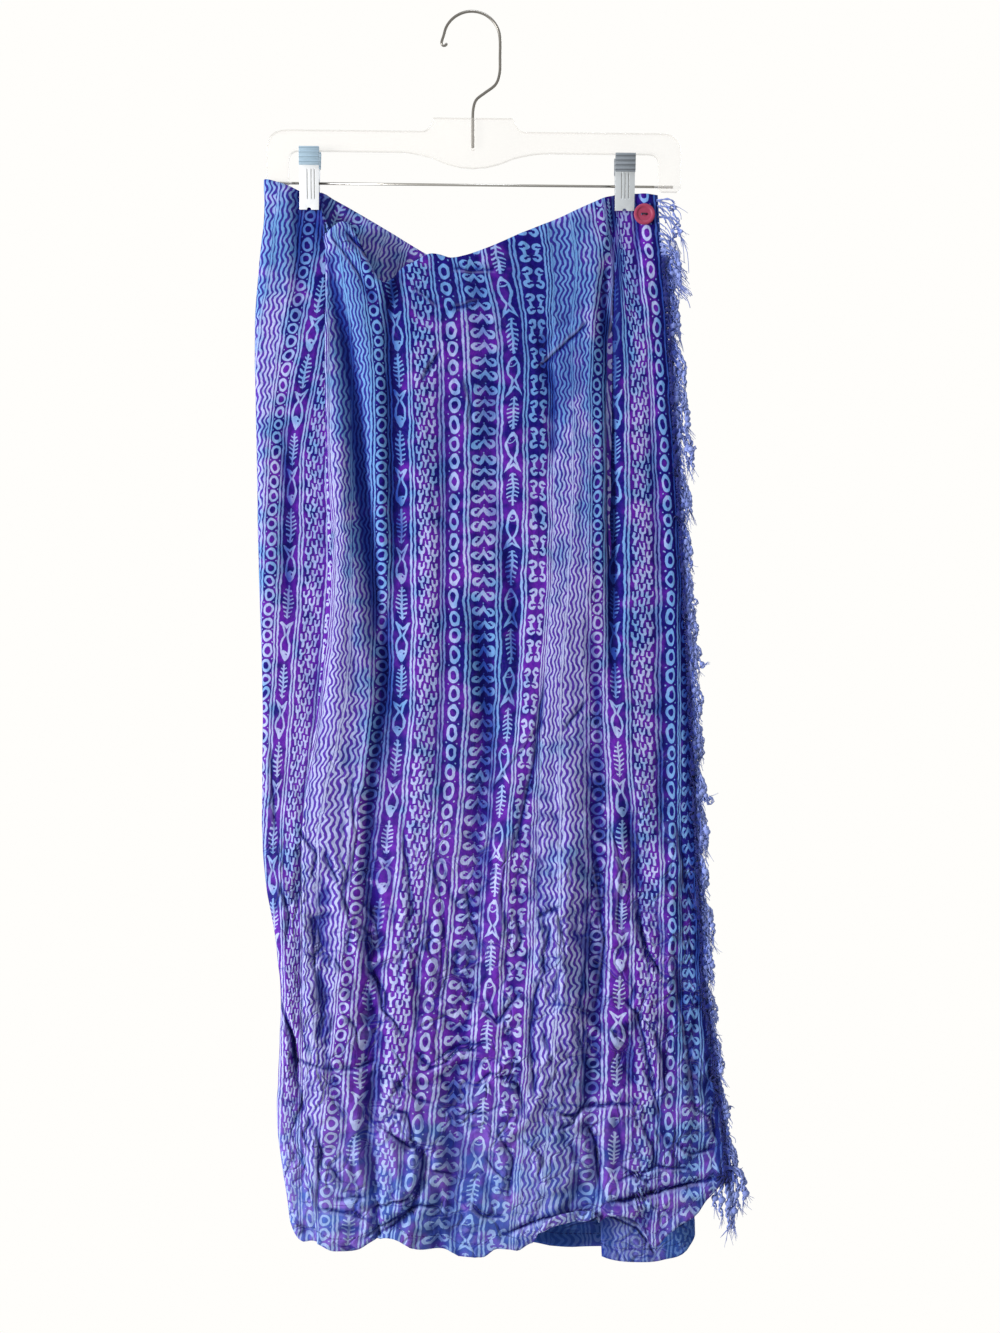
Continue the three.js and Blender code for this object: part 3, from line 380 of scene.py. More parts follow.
def front_relief(x, z):
    """How far the front is pushed towards the wall (+) by folds, creases and crumple, mm."""
    y = np.zeros(x.shape)
    for pts, w, d in SOFT_FOLDS:
        best, _, t = to_line(x, z, pts)
        y += 1.35 * d * np.exp(-((best / w) ** 2)) * np.clip(4 * t + 0.15, 0, 1) * np.clip(4 * (1 - t) + 0.15, 0, 1)
    for pts, w, h in CREASES + FINE:
        best, side, t = to_line(x, z, pts)
        w = max(w, 2.2)
        taper = np.clip(5 * t + 0.2, 0, 1) * np.clip(5 * (1 - t) + 0.2, 0, 1)
        groove = np.exp(-((best / (0.8 * w)) ** 2))
        lip = np.exp(-(((best - 2.1 * w) / (1.5 * w)) ** 2)) * np.where(side > 0, 0.35, 1.0)
        y += (1.4 if h > 2.3 else 1.05) * h * taper * (groove - 0.8 * lip)
    low = low_down(z)
    y -= (0.9 + 1.5 * low) * (ridged(x / 46 + 0.004 * z, z / 84, 0) ** 2 - 0.4)
    y -= (0.9 + 0.3 * low) * (ridged(x / 17 + z / 190, z / 110, 2) ** 2 - 0.4)
    y -= (0.3 + 0.3 * low) * (ridged(x / 21 + z / 130, z / 33 - x / 90, 1) ** 2 - 0.4)
    y += crumple(x, z, 0) * (0.16 + 1.4 * low)
    y *= 1 - np.exp(-(((x - 145.7) / 19) ** 2) - ((z + 174) / 19) ** 2)
    return y * (1 - pinch(x, z))


def low_down(z):
    return smooth((-560 - z) / 300)


def crumple(x, z, k):
    """Sharp creases between flat facets, mm: a net of cells with bent borders, some ridges and some grooves."""
    rng = np.random.default_rng(40 + k)
    out = np.zeros(x.shape)
    for cw, ch, amp, tilt in ((34.0, 62.0, 2.3, 0.25), (21.0, 30.0, 1.1, -0.35)):
        seeds = rng.random((40, 60, 2))
        bx = x + 9 * (noise2(x / 30, z / 30, k + 1) - 0.5)
        bz = z + 14 * (noise2(x / 26, z / 26, k + 2) - 0.5)
        u, w = (bx + tilt * bz) / cw + 12, -bz / ch + 1
        iu, iw = np.floor(u).astype(int), np.floor(w).astype(int)
        f1 = np.full(x.shape, 9.0)
        f2 = np.full(x.shape, 9.0)
        for du in (-1, 0, 1):
            for dw in (-1, 0, 1):
                s = seeds[(iu + du) % 40, (iw + dw) % 60]
                d = np.hypot(u - (iu + du + s[..., 0]), w - (iw + dw + s[..., 1]))
                f2 = np.minimum(f2, np.maximum(f1, d))
                f1 = np.minimum(f1, d)
        edge = np.exp(-((f2 - f1) / 0.13))
        sign = np.clip(7 * (noise2(x / 37, z / 41, k + 3) - 0.46), -0.55, 1.0)
        out -= amp * sign * edge
        out -= amp * 0.5 * (0.5 - f1)
    return out


def back_relief(x, z, k=3):
    low = 0.35 + 0.65 * low_down(z)
    y = 2.2 * (noise2(x / 58, z / 240, k) - 0.5) * 2
    y += (0.4 + 1.5 * low) * (ridged(x / 44 + z / 300, z / 82, k + 1) ** 2 - 0.4)
    y += (0.6 + 0.5 * low) * (ridged(x / 18 + z / 190, z / 105, k + 2) ** 2 - 0.4)
    y -= crumple(x, z, 7) * low
    return y * (1 - pinch(x, z)) * 0.9


# ------------------------------------------------------------------ sections
class Section:
    """Stations across the cloth at every height at once: arrays over z for x, free depth, kept depth and print place."""

    def __init__(self, z):
        self.z = z
        self.x, self.free, self.kept, self.p = [], [], [], []

    def put(self, x, free, kept, p):
        one = np.ones_like(self.z)
        self.x.append(x * one)
        self.free.append(free * one)
        self.kept.append(kept * one)
        self.p.append(p * one)

    def to(self, x, free, kept, p, n, ease=True):
        x0, f0, k0, p0 = self.x[-1], self.free[-1], self.kept[-1], self.p[-1]
        for k in range(1, n + 1):
            t = k / n
            e = smooth(t) if ease else t
            self.put(lerp(x0, x, t), lerp(f0, free, e), lerp(k0, kept, e), lerp(p0, p, t))

    def arrays(self):
        return [np.array(a) for a in (self.x, self.free, self.kept, self.p)]


def quarter(s, x, toward, face, free, p0, p1, n=6):
    for k in range(n + 1):
        w = k / n * math.pi / 2
        s.put(x + toward * 0.8 * abs(free) * (1 - math.cos(w)), free * math.sin(w), face * 0.05 * math.cos(w), lerp(p0, p1, k / n))


def half_turn(s, x, step, side, dp, n=6):
    f, k0, p0 = s.free[-1], s.kept[-1], s.p[-1]
    for k in range(1, n + 1):
        w = math.pi * k / n
        s.put(x + side * abs(step) / 2 * math.sin(w), f, k0 + step / 2 * (1 - math.cos(w)), p0 + dp * k / n)


def front_section(z):
    s = Section(z)
    left, fold = guide("left", z), guide("pleat", z)
    end = fold + PLEAT_LAP
    pl, pu, pr = (curve1(ROW_Z, c, z) for c in (PRINT_LEFT, PRINT_UNDER, PRINT_RIDGE))
    quarter(s, left, 1, -1, -HANG, pl - 5, pl + 3)
    s.to(fold, -HANG, 0, pu, 17, ease=False)
    hidden = pr - pu
    s.to(end, -HANG, 0, pu + hidden * 0.46, 7)
    half_turn(s, end, -PLEAT_STEP, 1, hidden * 0.04)
    s.to(fold + 2, -HANG, -PLEAT_STEP, pr - hidden * 0.04, 7)
    half_turn(s, fold + 2, -PLEAT_STEP, -1, hidden * 0.04)
    g = {n: guide(n, z) for n in GUIDE}
    grown = smooth((WAIST_Z + 10 - z) / 260)
    pw = curve1(ROW_Z, PRINT_WAVES, z)
    pe = curve1(ROW_Z, PRINT_EDGE, z)
    # the ridge over the hidden layers, then the valley beside it: worked out against x, so print and depth are separate
    knots_x = [fold, fold + 16, end + 4, end + 14, g["branch"], g["scroll"] - 16, g["scroll"] + 4, g["scroll"] + 34, g["waves2"],
               g["rings2"] + 1, g["rings2"] + 16, g["ovals2"], g["edge"]]
    free = [-HANG, -HANG, -HANG, -4.6, -8.6, -7.6, -5.4, -8.6, -9.4, -4.8, -7.2, -7.0, -5.6]
    kept = [-2 * PLEAT_STEP, -2 * PLEAT_STEP - 1, -1.7 * PLEAT_STEP, 0, 0, 0, 0, 0, 0, 0, 0, 0, 0]
    free = [-HANG if i < 3 else lerp(-HANG, f, grown) for i, f in enumerate(free)]
    prints = [
        (fold, pr), (g["waves"], pw), (g["rings"], 248.0), (g["branch"], 290.5), (g["ovals"], 314.5), (g["scroll"], 338.0),
        (g["fern"], 361.0), (g["curls"], 384.0), (g["waves2"], 418.5), (g["rings2"], 448.0), (g["fish2"], 466.5),
        (g["branch2"], 490.5), (g["ovals2"], 514.5), (g["edge"], pe),
    ]
    px = np.array([a * np.ones_like(z) for a, _ in prints])
    pp = np.array([b * np.ones_like(z) for _, b in prints])
    for i in range(1, len(px)):
        px[i] = np.maximum(px[i], px[i - 1] + 0.8)
    kx = np.array([a * np.ones_like(z) for a in knots_x])
    kf = np.array([a * np.ones_like(z) for a in free])
    kk = np.array([a * np.ones_like(z) for a in kept])
    n = 128
    x0, f0, k0 = s.x[-1], s.free[-1], s.kept[-1]
    for k in range(1, n + 1):
        x = lerp(x0, g["edge"], k / n)
        fr, ke, pr_ = np.empty_like(z), np.empty_like(z), np.empty_like(z)
        idx = np.arange(len(z))
        i = np.clip((kx < x).sum(0) - 1, 0, len(knots_x) - 2)
        t = smooth((x - kx[i, idx]) / (kx[i + 1, idx] - kx[i, idx]))
        fr = lerp(kf[i, idx], kf[i + 1, idx], t)
        ke = lerp(kk[i, idx], kk[i + 1, idx], t)
        j = np.clip((px < x).sum(0) - 1, 0, len(prints) - 2)
        pr_ = lerp(pp[j, idx], pp[j + 1, idx], (x - px[j, idx]) / (px[j + 1, idx] - px[j, idx]))
        s.put(x, fr, ke, pr_)
    return s.arrays()


def back_section(z):
    s = Section(z)
    left, right = guide("left", z), guide("back", z)
    pl = curve1(ROW_Z, PRINT_LEFT, z)
    grown = smooth((WAIST_Z - z) / 300)
    quarter(s, left, 1, 1, HANG, pl - 5, pl - 13)
    folds = [(-149, 5.6, 8), (-129.4, 5.7, 5), (-120, 6.1, 3), (-92, 7.2, 6), (-41, 5.2, 10), (10, 7.0, 10), (61, 5.3, 10), (110, 6.6, 10),
             (120, 6.4, 3), (139.6, 5.7, 5), (145, 5.8, 2)]
    for x, f, n in folds:
        s.to(x, lerp(HANG, f, grown), 0, pl - 13 - (x - left), n)
    s.to(right - HANG / 2, HANG, 0, pl - 13 - (right - 3 - left), 6)
    for k in range(1, 7):
        w = k / 6 * math.pi / 2
        s.put(right - HANG / 2 * (1 - math.sin(w)), HANG / 2 * (1 + math.cos(w)), 0.05 * math.sin(w), pl - 13 - (right - 3 - left) - 4 * k / 6)
    return s.arrays()


def under_section(z):
    s = Section(z)
    right, end = guide("back", z), table(UNDER_END, z)
    for k in range(7):
        w = k / 6 * math.pi / 2
        s.put(right - HANG / 2 * (1 - math.cos(w)), HANG / 2 * (1 - math.sin(w)), -0.05 * math.cos(w), 178 - 5 * k / 6)
    s.to(end, 0.0, 0, 178 - 5 - (right - 3 - end), 20, ease=False)
    x, f, k, p = s.arrays()
    return x[::-1], f[::-1], k[::-1], p[::-1]


def grid(section, top, hem, rows, relief):
    """Grid of (rows+1, columns): positions in mm and print place, each column from its top edge to its hem."""
    n = len(section(np.array([-500.0]))[0])
    ends = []
    for edge, start in ((top, -170.0), (hem, -1030.0)):
        z = np.full(n, start)
        for _ in range(14):
            x = section(z)[0][np.arange(n), np.arange(n)]
            z = 0.5 * z + 0.5 * table(edge, x)
        ends.append(z)
    # rows lie closer together in the crumpled lower half
    step = lerp(1.0, 0.5, smooth((np.linspace(0, 1, rows) - 0.22) / 0.3))
    t = np.concatenate([[0.0], np.cumsum(step)])
    t /= t[-1]
    X, Y, Z, P = (np.zeros((rows + 1, n)) for _ in range(4))
    for i, ti in enumerate(t):
        z = lerp(ends[0], ends[1], ti)
        xs, fs, ks, ps = section(z)
        d = np.arange(n)
        x = xs[d, d]
        X[i], Z[i], P[i] = x, z, ps[d, d]
        Y[i] = depth(fs[d, d], x, z) + ks[d, d]
    # where two pieces meet at a fold, their edges stay straight and face to face
    keep = np.ones_like(X)
    if section is not under_section:
        keep *= smooth(np.abs(X - X[:, :1]) / 9.0)
    if section is not front_section:
        keep *= smooth(np.abs(X - X[:, -1:]) / 9.0)
    Y = Y + relief(X, Z) * keep
    return np.stack([X, Y, Z], -1), P, ends


def shell(name, pts, P, thick, attributes):
    """Closed thin shell about a grid, in metres, with float attributes for the print."""
    rows, cols = pts.shape[:2]
    up = np.gradient(pts, axis=0)
    across = np.gradient(pts, axis=1)
    n = np.cross(across, up)
    n /= np.maximum(np.linalg.norm(n, axis=-1, keepdims=True), 1e-9)
    half = (thick / 2)[..., None] if isinstance(thick, np.ndarray) else thick / 2
    a, b = pts - n * half, pts + n * half
    verts = np.concatenate([a.reshape(-1, 3), b.reshape(-1, 3)]) * MM
    ids = np.arange(rows * cols).reshape(rows, cols)
    N = rows * cols
    q = np.stack([ids[:-1, :-1], ids[:-1, 1:], ids[1:, 1:], ids[1:, :-1]], -1).reshape(-1, 4)
    faces = [q[:, ::-1], q + N]
    for line in (ids[0, ::-1], ids[-1], ids[:, 0], ids[::-1, -1]):
        faces.append(np.stack([line[:-1], line[1:], line[1:] + N, line[:-1] + N], -1))
    faces = np.concatenate(faces)
    me = bpy.data.meshes.new(name)
    me.from_pydata(verts.tolist(), [], faces.tolist())
    me.update()
    ob = bpy.data.objects.new(name, me)
    scene.collection.objects.link(ob)
    bm = bmesh.new()
    bm.from_mesh(me)
    bmesh.ops.recalc_face_normals(bm, faces=bm.faces)
    if bm.calc_volume(signed=True) < 0:
        bmesh.ops.reverse_faces(bm, faces=bm.faces)
    bm.to_mesh(me)
    bm.free()
    for key, (front, back) in attributes.items():
        at = me.attributes.new(key, "FLOAT", "POINT")
        at.data.foreach_set("value", np.concatenate([front.ravel(), back.ravel()]).astype(np.float32))
    me.shade_smooth()
    return ob


# ------------------------------------------------------------------ shader graph helper
class Val:
    def __init__(self, g, out):
        self.g, self.out = g, out

    def __add__(self, o): return self.g.m("ADD", self, o)
    def __radd__(self, o): return self.g.m("ADD", o, self)
    def __sub__(self, o): return self.g.m("SUBTRACT", self, o)
    def __rsub__(self, o): return self.g.m("SUBTRACT", o, self)
    def __mul__(self, o): return self.g.m("MULTIPLY", self, o)
    def __rmul__(self, o): return self.g.m("MULTIPLY", o, self)
    def __truediv__(self, o): return self.g.m("DIVIDE", self, o)
    def __lt__(self, o): return self.g.m("LESS_THAN", self, o)
    def __gt__(self, o): return self.g.m("GREATER_THAN", self, o)


class Graph:
    def __init__(self, mat):
        self.nt = mat.node_tree
        self.nodes, self.links = self.nt.nodes, self.nt.links

    def node(self, kind, **props):
        n = self.nodes.new(kind)
        for k, v in props.items():
            setattr(n, k, v)
        return n

    def feed(self, socket, v):
        if isinstance(v, Val):
            self.links.new(v.out, socket)
        elif hasattr(v, "is_linked"):
            self.links.new(v, socket)
        else:
            socket.default_value = v

    def m(self, op, *args):
        n = self.node("ShaderNodeMath", operation=op)
        for s, v in zip(n.inputs, args):
            self.feed(s, v)
        return Val(self, n.outputs[0])

    def abs(self, v): return self.m("ABSOLUTE", v)
    def fract(self, v): return self.m("FRACT", v)
    def floor(self, v): return self.m("FLOOR", v)
    def sin(self, v): return self.m("SINE", v)
    def sqrt(self, v): return self.m("SQRT", v)
    def max(self, a, b): return self.m("MAXIMUM", a, b)
    def min(self, a, b): return self.m("MINIMUM", a, b)

    def hyp(self, a, b): return self.sqrt(a * a + b * b)

    def step(self, v, lo, hi):
        """0 below lo, 1 above hi, soft between; lo may be above hi."""
        n = self.node("ShaderNodeMapRange", interpolation_type="SMOOTHSTEP", clamp=True)
        self.feed(n.inputs["Value"], v)
        n.inputs["From Min"].default_value = min(lo, hi)
        n.inputs["From Max"].default_value = max(lo, hi)
        n.inputs["To Min"].default_value = 0.0 if lo < hi else 1.0
        n.inputs["To Max"].default_value = 1.0 if lo < hi else 0.0
        return Val(self, n.outputs["Result"])

    def attr(self, name):
        return Val(self, self.node("ShaderNodeAttribute", attribute_name=name, attribute_type="GEOMETRY").outputs["Fac"])

    def noise(self, vector, scale, detail=2.0, rough=0.5, out="Fac", distortion=0.0):
        n = self.node("ShaderNodeTexNoise")
        self.feed(n.inputs["Vector"], vector)
        n.inputs["Scale"].default_value = scale
        n.inputs["Detail"].default_value = detail
        n.inputs["Roughness"].default_value = rough
        n.inputs["Distortion"].default_value = distortion
        return Val(self, n.outputs[out])

    def xyz(self, x, y, z=0.0):
        n = self.node("ShaderNodeCombineXYZ")
        for s, v in zip(n.inputs, (x, y, z)):
            self.feed(s, v)
        return n.outputs[0]

    def mix(self, fac, a, b, blend="MIX"):
        n = self.node("ShaderNodeMix", data_type="RGBA", blend_type=blend)
        self.feed(n.inputs["Factor"], fac)
        for s, v in ((n.inputs[6], a), (n.inputs[7], b)):
            self.feed(s, v)
        return n.outputs[2]

    def bump(self, height, strength, distance, normal=None):
        n = self.node("ShaderNodeBump")
        n.inputs["Strength"].default_value = strength
        n.inputs["Distance"].default_value = distance
        self.feed(n.inputs["Height"], height)
        if normal is not None:
            self.feed(n.inputs["Normal"], normal)
        return n.outputs[0]


def rgb(hexa, k=1.0):
    c = [int(hexa[i : i + 2], 16) / 255 for i in (0, 2, 4)]
    return tuple([min(1.0, (v / 12.92 if v <= 0.04045 else ((v + 0.055) / 1.055) ** 2.4) * k) for v in c] + [1.0])


def material(name, **inputs):
    mat = bpy.data.materials.new(name)
    mat.use_nodes = True
    bsdf = mat.node_tree.nodes["Principled BSDF"]
    for k, v in inputs.items():
        bsdf.inputs[k.replace("_", " ")].default_value = v
    return mat, Graph(mat), bsdf


# ------------------------------------------------------------------ printed cloth
def printed_cloth(name, wrong=0.0):
    """Batik stripe: waves, rings, fish and ferns, branches, ovals, scrolls and curls between ruled lines."""
    mat, g, bsdf = material(name, Roughness=0.8)
    bsdf.inputs["Specular IOR Level"].default_value = 0.07
    p0, v0 = g.attr("print_across"), g.attr("print_along")
    flat = g.xyz(p0, v0)
    # hand-drawn wobble: a slow drift and a quick one
    slow = g.node("ShaderNodeTexNoise")
    g.feed(slow.inputs["Vector"], flat)
    slow.inputs["Scale"].default_value = 0.045
    slow.inputs["Detail"].default_value = 0.0
    wob = g.node("ShaderNodeTexNoise")
    g.feed(wob.inputs["Vector"], flat)
    wob.inputs["Scale"].default_value = 0.17
    wob.inputs["Detail"].default_value = 1.5
    sep = g.node("ShaderNodeSeparateColor")
    g.links.new(wob.outputs["Color"], sep.inputs[0])
    seps = g.node("ShaderNodeSeparateColor")
    g.links.new(slow.outputs["Color"], seps.inputs[0])
    p = p0 + (Val(g, sep.outputs[0]) - 0.5) * 2.3 + (Val(g, seps.outputs[0]) - 0.5) * 3.2
    v = v0 + (Val(g, sep.outputs[1]) - 0.5) * 2.9 + (Val(g, seps.outputs[1]) - 0.5) * 7.0
    P = g.fract(p / REPEAT) * REPEAT
    soft = 0.3
    weight = (Val(g, sep.outputs[2]) - 0.5) * 0.75  # lines drawn now thicker, now thinner

    def line(x, half):
        return g.step(g.abs(x) - half - weight, soft, -soft)

    def within(x, half):
        return g.abs(x) < half

    def cell(pitch, shift=0.0):
        return (g.fract(v / pitch + shift) - 0.5) * pitch

    # waves
    swing = g.step(g.noise(g.xyz(p0 * 1.4, v0 * 0.7), 0.05, 1.0, 0.5), 0.36, 0.62)
    sway = g.sin(v * (2 * math.pi / 12.8) + (Val(g, sep.outputs[2]) - 0.5) * 2.2) * (swing * 0.8 + 0.72)
    m = None
    for c, half, shift in ((8.6, 8.5, 0.5), (28.6, 8.5, 0.25)):
        x = P - c
        f = g.fract((x + sway) / 4.2 + shift)
        w = line((f - 0.5) * 4.2, 1.12) * within(x, half)
        m = w if m is None else g.max(m, w)
    # ruled lines
    for c in (18.5,):
        m = g.max(m, line(P - c, 1.0))
    for c in (39.5, 56.5, 77.0, 104.0, 125.0, 150.5, 172.0):
        m = g.max(m, line(g.abs(P - c) - 1.6, 0.92))
    x = P - 196.6
    m = g.max(m, g.max(line(g.abs(x) - 2.6, 0.75), line(x, 0.7)))
    # rings and dots
    x = P - 48.0
    y = cell(12.0)
    ring = line(g.hyp(x, y * 0.94) - 3.85, 1.15)
    y2 = cell(12.0, 0.5)
    dots = line(g.hyp(g.abs(x) - 4.7, y2), 0.62)
    m = g.max(m, g.max(ring, dots) * within(x, 5.7))
    # ovals
    x = P - 114.5
    y = cell(16.4)
    ov = line(g.hyp(x / 0.64, y) - 5.4, 1.75)
    y2 = cell(16.4, 0.5)
    dots = line(g.hyp(g.abs(x) - 4.4, y2), 0.7)
    m = g.max(m, g.max(ov, dots) * within(x, 6.6))
    # branches: three staggered columns of forked twigs, a cup on a stem
    x = P - 90.5
    col = g.floor(x / 6.1 + 0.5)
    xi = x - col * 6.1
    cy = v / -12.2 + g.abs(col) * 0.5 + 0.09 * col
    row = g.floor(cy)
    y = (g.fract(cy) - 0.5) * 12.2
    lean = (g.fract(row * 0.37 + col * 0.29) - 0.5) * 0.42
    xi = xi + y * lean
    cup = line(g.hyp(xi, g.min(y - 3.0, 0.0)) - 2.35, 1.12) * (y < 5.6)
    stem = line(xi, 1.18) * within(y + 2.4, 3.0)
    m = g.max(m, g.max(cup, stem) * within(x, 9.1) * (y > -5.3))
    # scroll rows: a peak between two curls
    x = P - 138.2
    y = cell(11.8, 0.2) * -1.0
    xm = g.abs(x)
    curl = line(g.hyp(xm - 5.7, y * 1.02) - 2.55, 1.38)
    gap = (xm < 5.2) * within(y - 1.15, 1.2)
    peak = line((y - 2.9 + xm * 1.3) * 0.62, 1.42) * (xm < 4.1)
    m = g.max(m, g.max(curl * (1.0 - gap), peak) * within(x, 9.7))
    m = g.max(m, line(g.hyp(x, cell(11.8, 0.7)), 0.55))
    # curls: mirrored pairs of hooked strokes
    x = P - 184.0
    y = cell(22.6, 0.4)
    xm = g.abs(x) - 4.35
    ry = g.abs(y) - 5.5
    hook = line(g.hyp(xm, ry) - 2.4, 1.3)
    turn = g.m("SIGN", y)
    gap = (xm * turn < -0.5) * within(ry + 0.9, 1.0)
    neck = line(xm + y * 0.22, 1.25) * within(y, 3.6)
    m = g.max(m, g.max(hook * (1.0 - gap), neck) * within(x, 8.4))
    # fish and ferns
    for c, head, shift, fill in ((66.5, -1.0, 0.1, 7.6), (161.0, 1.0, 0.55, 12.0)):
        x = P - c
        t = g.fract(v / 66.0 + shift) * 66.0
        y = (t - 16.5) * (-head)  # along the fish, head at +
        yb = (y - 4.2) / 11.2
        body = 4.6 * (1.0 - yb * yb)
        tail = (g.max(-6.6 - y, 0.0) * 0.42 + 1.15) * (y < 2.0)
        half = g.max(body, tail)
        ax = g.abs(x)
        notch = y + 11.4 + ax * 0.8
        outline = line(ax - half, 1.12) * (notch > 0.0) * (y < 15.8)
        fork = line(notch * 0.8, 1.0) * (ax < half + 0.9)
        face = g.step(ax - half, 0.3, -0.3) * (y > fill)
        eye = line(g.hyp(x - 1.3, y - 9.4), 0.85)
        gill = line(g.hyp(x + 1.0, y - 11.6) - 4.6, 0.55) * (y < 9.2) * (y > 6.2) * (ax < half)
        dot = line(g.hyp(x + 1.2, y - 9.6), 0.55)
        fish = g.max(g.max(outline, fork), g.max(face, g.max(gill, dot))) * (1.0 - eye)
        s = (t - 49.5) * (-head)
        spine = line(x, 0.95) * within(s, 14.4)
        reach = 5.1 * (1.0 - (s / 17.5) * (s / 17.5))
        barbs = line((g.fract((s + ax * 0.42) / 3.9) - 0.5) * 3.9, 0.82) * (ax < reach) * within(s, 13.6)
        m = g.max(m, g.max(fish, g.max(spine, barbs)) * within(x, 7.0))

    # dye: soft patches from purple and lavender to navy and teal; the attribute it reads also carries placed patches of
    # painted shade and painted highlight
    dye_and_painted_light_at = g.attr("dye_and_painted_light")
    big = g.noise(g.xyz(p0 * 0.9, v0 * 0.5), 0.024, 2.0, 0.55)
    small = g.noise(flat, 0.055, 2.0, 0.6)
    dye_and_painted_light = g.step(big * 0.65 + small * 0.6 + dye_and_painted_light_at, 0.47, 0.8)
    ground_dye_and_painted_light = g.step(big * 0.5 + small * 0.9 + dye_and_painted_light_at * 0.8, 0.56, 0.82)
    tone = g.noise(flat, 0.3, 2.0, 0.6)
    motif = g.mix(dye_and_painted_light, rgb("AEB1DA"), rgb("6090C4"))
    motif = g.mix(g.step(tone, 0.35, 0.75) * 0.45, motif, rgb("7A8EC2"))
    motif = g.mix(g.attr("fade") * 0.6, motif, rgb("96A8D6"))
    ground = g.mix(ground_dye_and_painted_light, rgb("5E1E98"), rgb("0E0A60"))
    ground = g.mix(g.attr("fade"), ground, g.mix(ground_dye_and_painted_light, rgb("745AB6"), rgb("4660B0")))
    ground = g.mix(g.step(tone, 0.62, 0.3) * 0.45 * (1.0 - g.attr("fade")), ground, rgb("2A1180"))
    ground = g.mix(g.max(within(P - 8.6, 9.0), within(P - 28.6, 9.0)) * 0.4, ground, rgb("3F3CA0"))
    # wax edge: a thin darker rim where the motif meets the ground
    rim = m * (1.0 - m) * 2.6
    base = g.mix(m, ground, motif)
    base = g.mix(rim * 0.7, base, rgb("16106A"))
    # painted shade: the shade attribute darkens the hollows and turns them bluer, the deep-shade attribute takes the
    # deepest towards navy
    shade = g.attr("shade")
    base = g.mix(shade, base, g.mix(1.0, base, rgb("5E6EB6"), "MULTIPLY"))
    base = g.mix(g.attr("deep_shade") * 0.62, base, rgb("0F1A60"))
    # the wrong side is duller and bluer, its own colour; the extra low down is painted shade
    inside = g.attr("inside")
    base = g.mix(inside * (g.attr("crumple") * 0.34 + 0.05), base, rgb("2C5CAC"))
    # pressed-in creases: a broken net of bent lines, denser low down, given as a bump, with a dark line of painted
    # shade along each and a pale band of painted highlight beside it
    crumple = g.attr("crumple")
    cu = p0 + v0 * 0.22 + (Val(g, seps.outputs[1]) - 0.5) * 44.0 + (Val(g, sep.outputs[0]) - 0.5) * 6.0
    cv = v0 - p0 * 0.3 + (Val(g, seps.outputs[0]) - 0.5) * 60.0 + (Val(g, sep.outputs[1]) - 0.5) * 8.0
    dark, wide, lite = None, None, None
    for sx, sy, turn in ((0.030, 0.017, 0.0), (0.052, 0.036, 7.3)):
        net = g.node("ShaderNodeTexVoronoi", feature="DISTANCE_TO_EDGE", voronoi_dimensions="2D")
        g.feed(net.inputs["Vector"], g.xyz(cu * sx + turn, cv * sy + turn))
        net.inputs["Scale"].default_value = 1.0
        d = Val(g, net.outputs["Distance"])
        keep = g.step(g.noise(g.xyz(p0 * 0.8 + 90.0 * turn, v0 * 0.6), 0.045, 1.0, 0.5), 0.46, 0.6)
        a = g.step(d, 0.04, 0.012) * keep
        w = g.step(d, 0.0, 0.13) * keep
        b = g.step(d, 0.13, 0.07) * g.step(d, 0.04, 0.06) * keep
        dark = a if dark is None else g.max(dark, a * 0.85)
        wide = w if wide is None else wide + w * 0.5
        lite = b if lite is None else g.max(lite, b * 0.8)
    base = g.mix(lite * crumple * 0.14, base, rgb("A6A8E2"))
    base = g.mix(dark * crumple * 0.62, base, rgb("1C1E82"))
    # the listed creases: a dark line of painted shade, a pale ridge of painted highlight beside it
    cd, ck = g.attr("crease_at"), g.attr("crease")
    cline = g.step(g.abs(cd + (Val(g, sep.outputs[1]) - 0.5) * 1.2), 1.15, 0.25) * ck
    cpale = g.step(g.abs(cd + 2.4), 1.7, 0.3) * ck
    base = g.mix(cpale * 0.26, base, rgb("AEB2EA"))
    base = g.mix(cline * 0.86, base, rgb("14146A"))
    press = g.step(g.abs(cd), 1.7, 0.1) * ck
    stand = g.step(g.abs(cd + 2.6), 2.4, 0.1) * ck
    # stitching along the hem
    h = g.attr("hem")
    stitch = line(h - 11.0, 0.35) * within((g.fract(p0 / 2.6) - 0.5) * 2.6, 0.85)
    base = g.mix(stitch * 0.7, base, rgb("1A1458"))
    g.feed(bsdf.inputs["Base Color"], base)
    # weave, slubs and small crinkles, and finer creases low down
    weave = g.sin(p0 * 5.2) * g.sin(v0 * 5.2)
    coord = g.node("ShaderNodeTexCoord").outputs["Object"]
    stretched = g.node("ShaderNodeMapping")
    g.links.new(coord, stretched.inputs["Vector"])
    stretched.inputs["Scale"].default_value = (1.0, 1.0, 0.34)
    crinkle = g.noise(stretched.outputs[0], 105.0, 3.0, 0.55, distortion=0.7)
    n1 = g.bump(crinkle, 0.7, 0.0016)
    n1 = g.bump(wide * crumple, 1.0, 0.0015, n1)
    n1 = g.bump(stand * 0.5 - press, 1.0, 0.0009, n1)
    n2 = g.bump(weave, 0.2, 0.00015, n1)
    n3 = g.bump(1.0 - stitch, 0.5, 0.0004, n2)
    g.feed(bsdf.inputs["Normal"], n3)
    rough = g.step(tone, 0.0, 1.0) * 0.14 + 0.72
    g.feed(bsdf.inputs["Roughness"], rough)
    return mat


CLOTH = printed_cloth("printed_rayon")


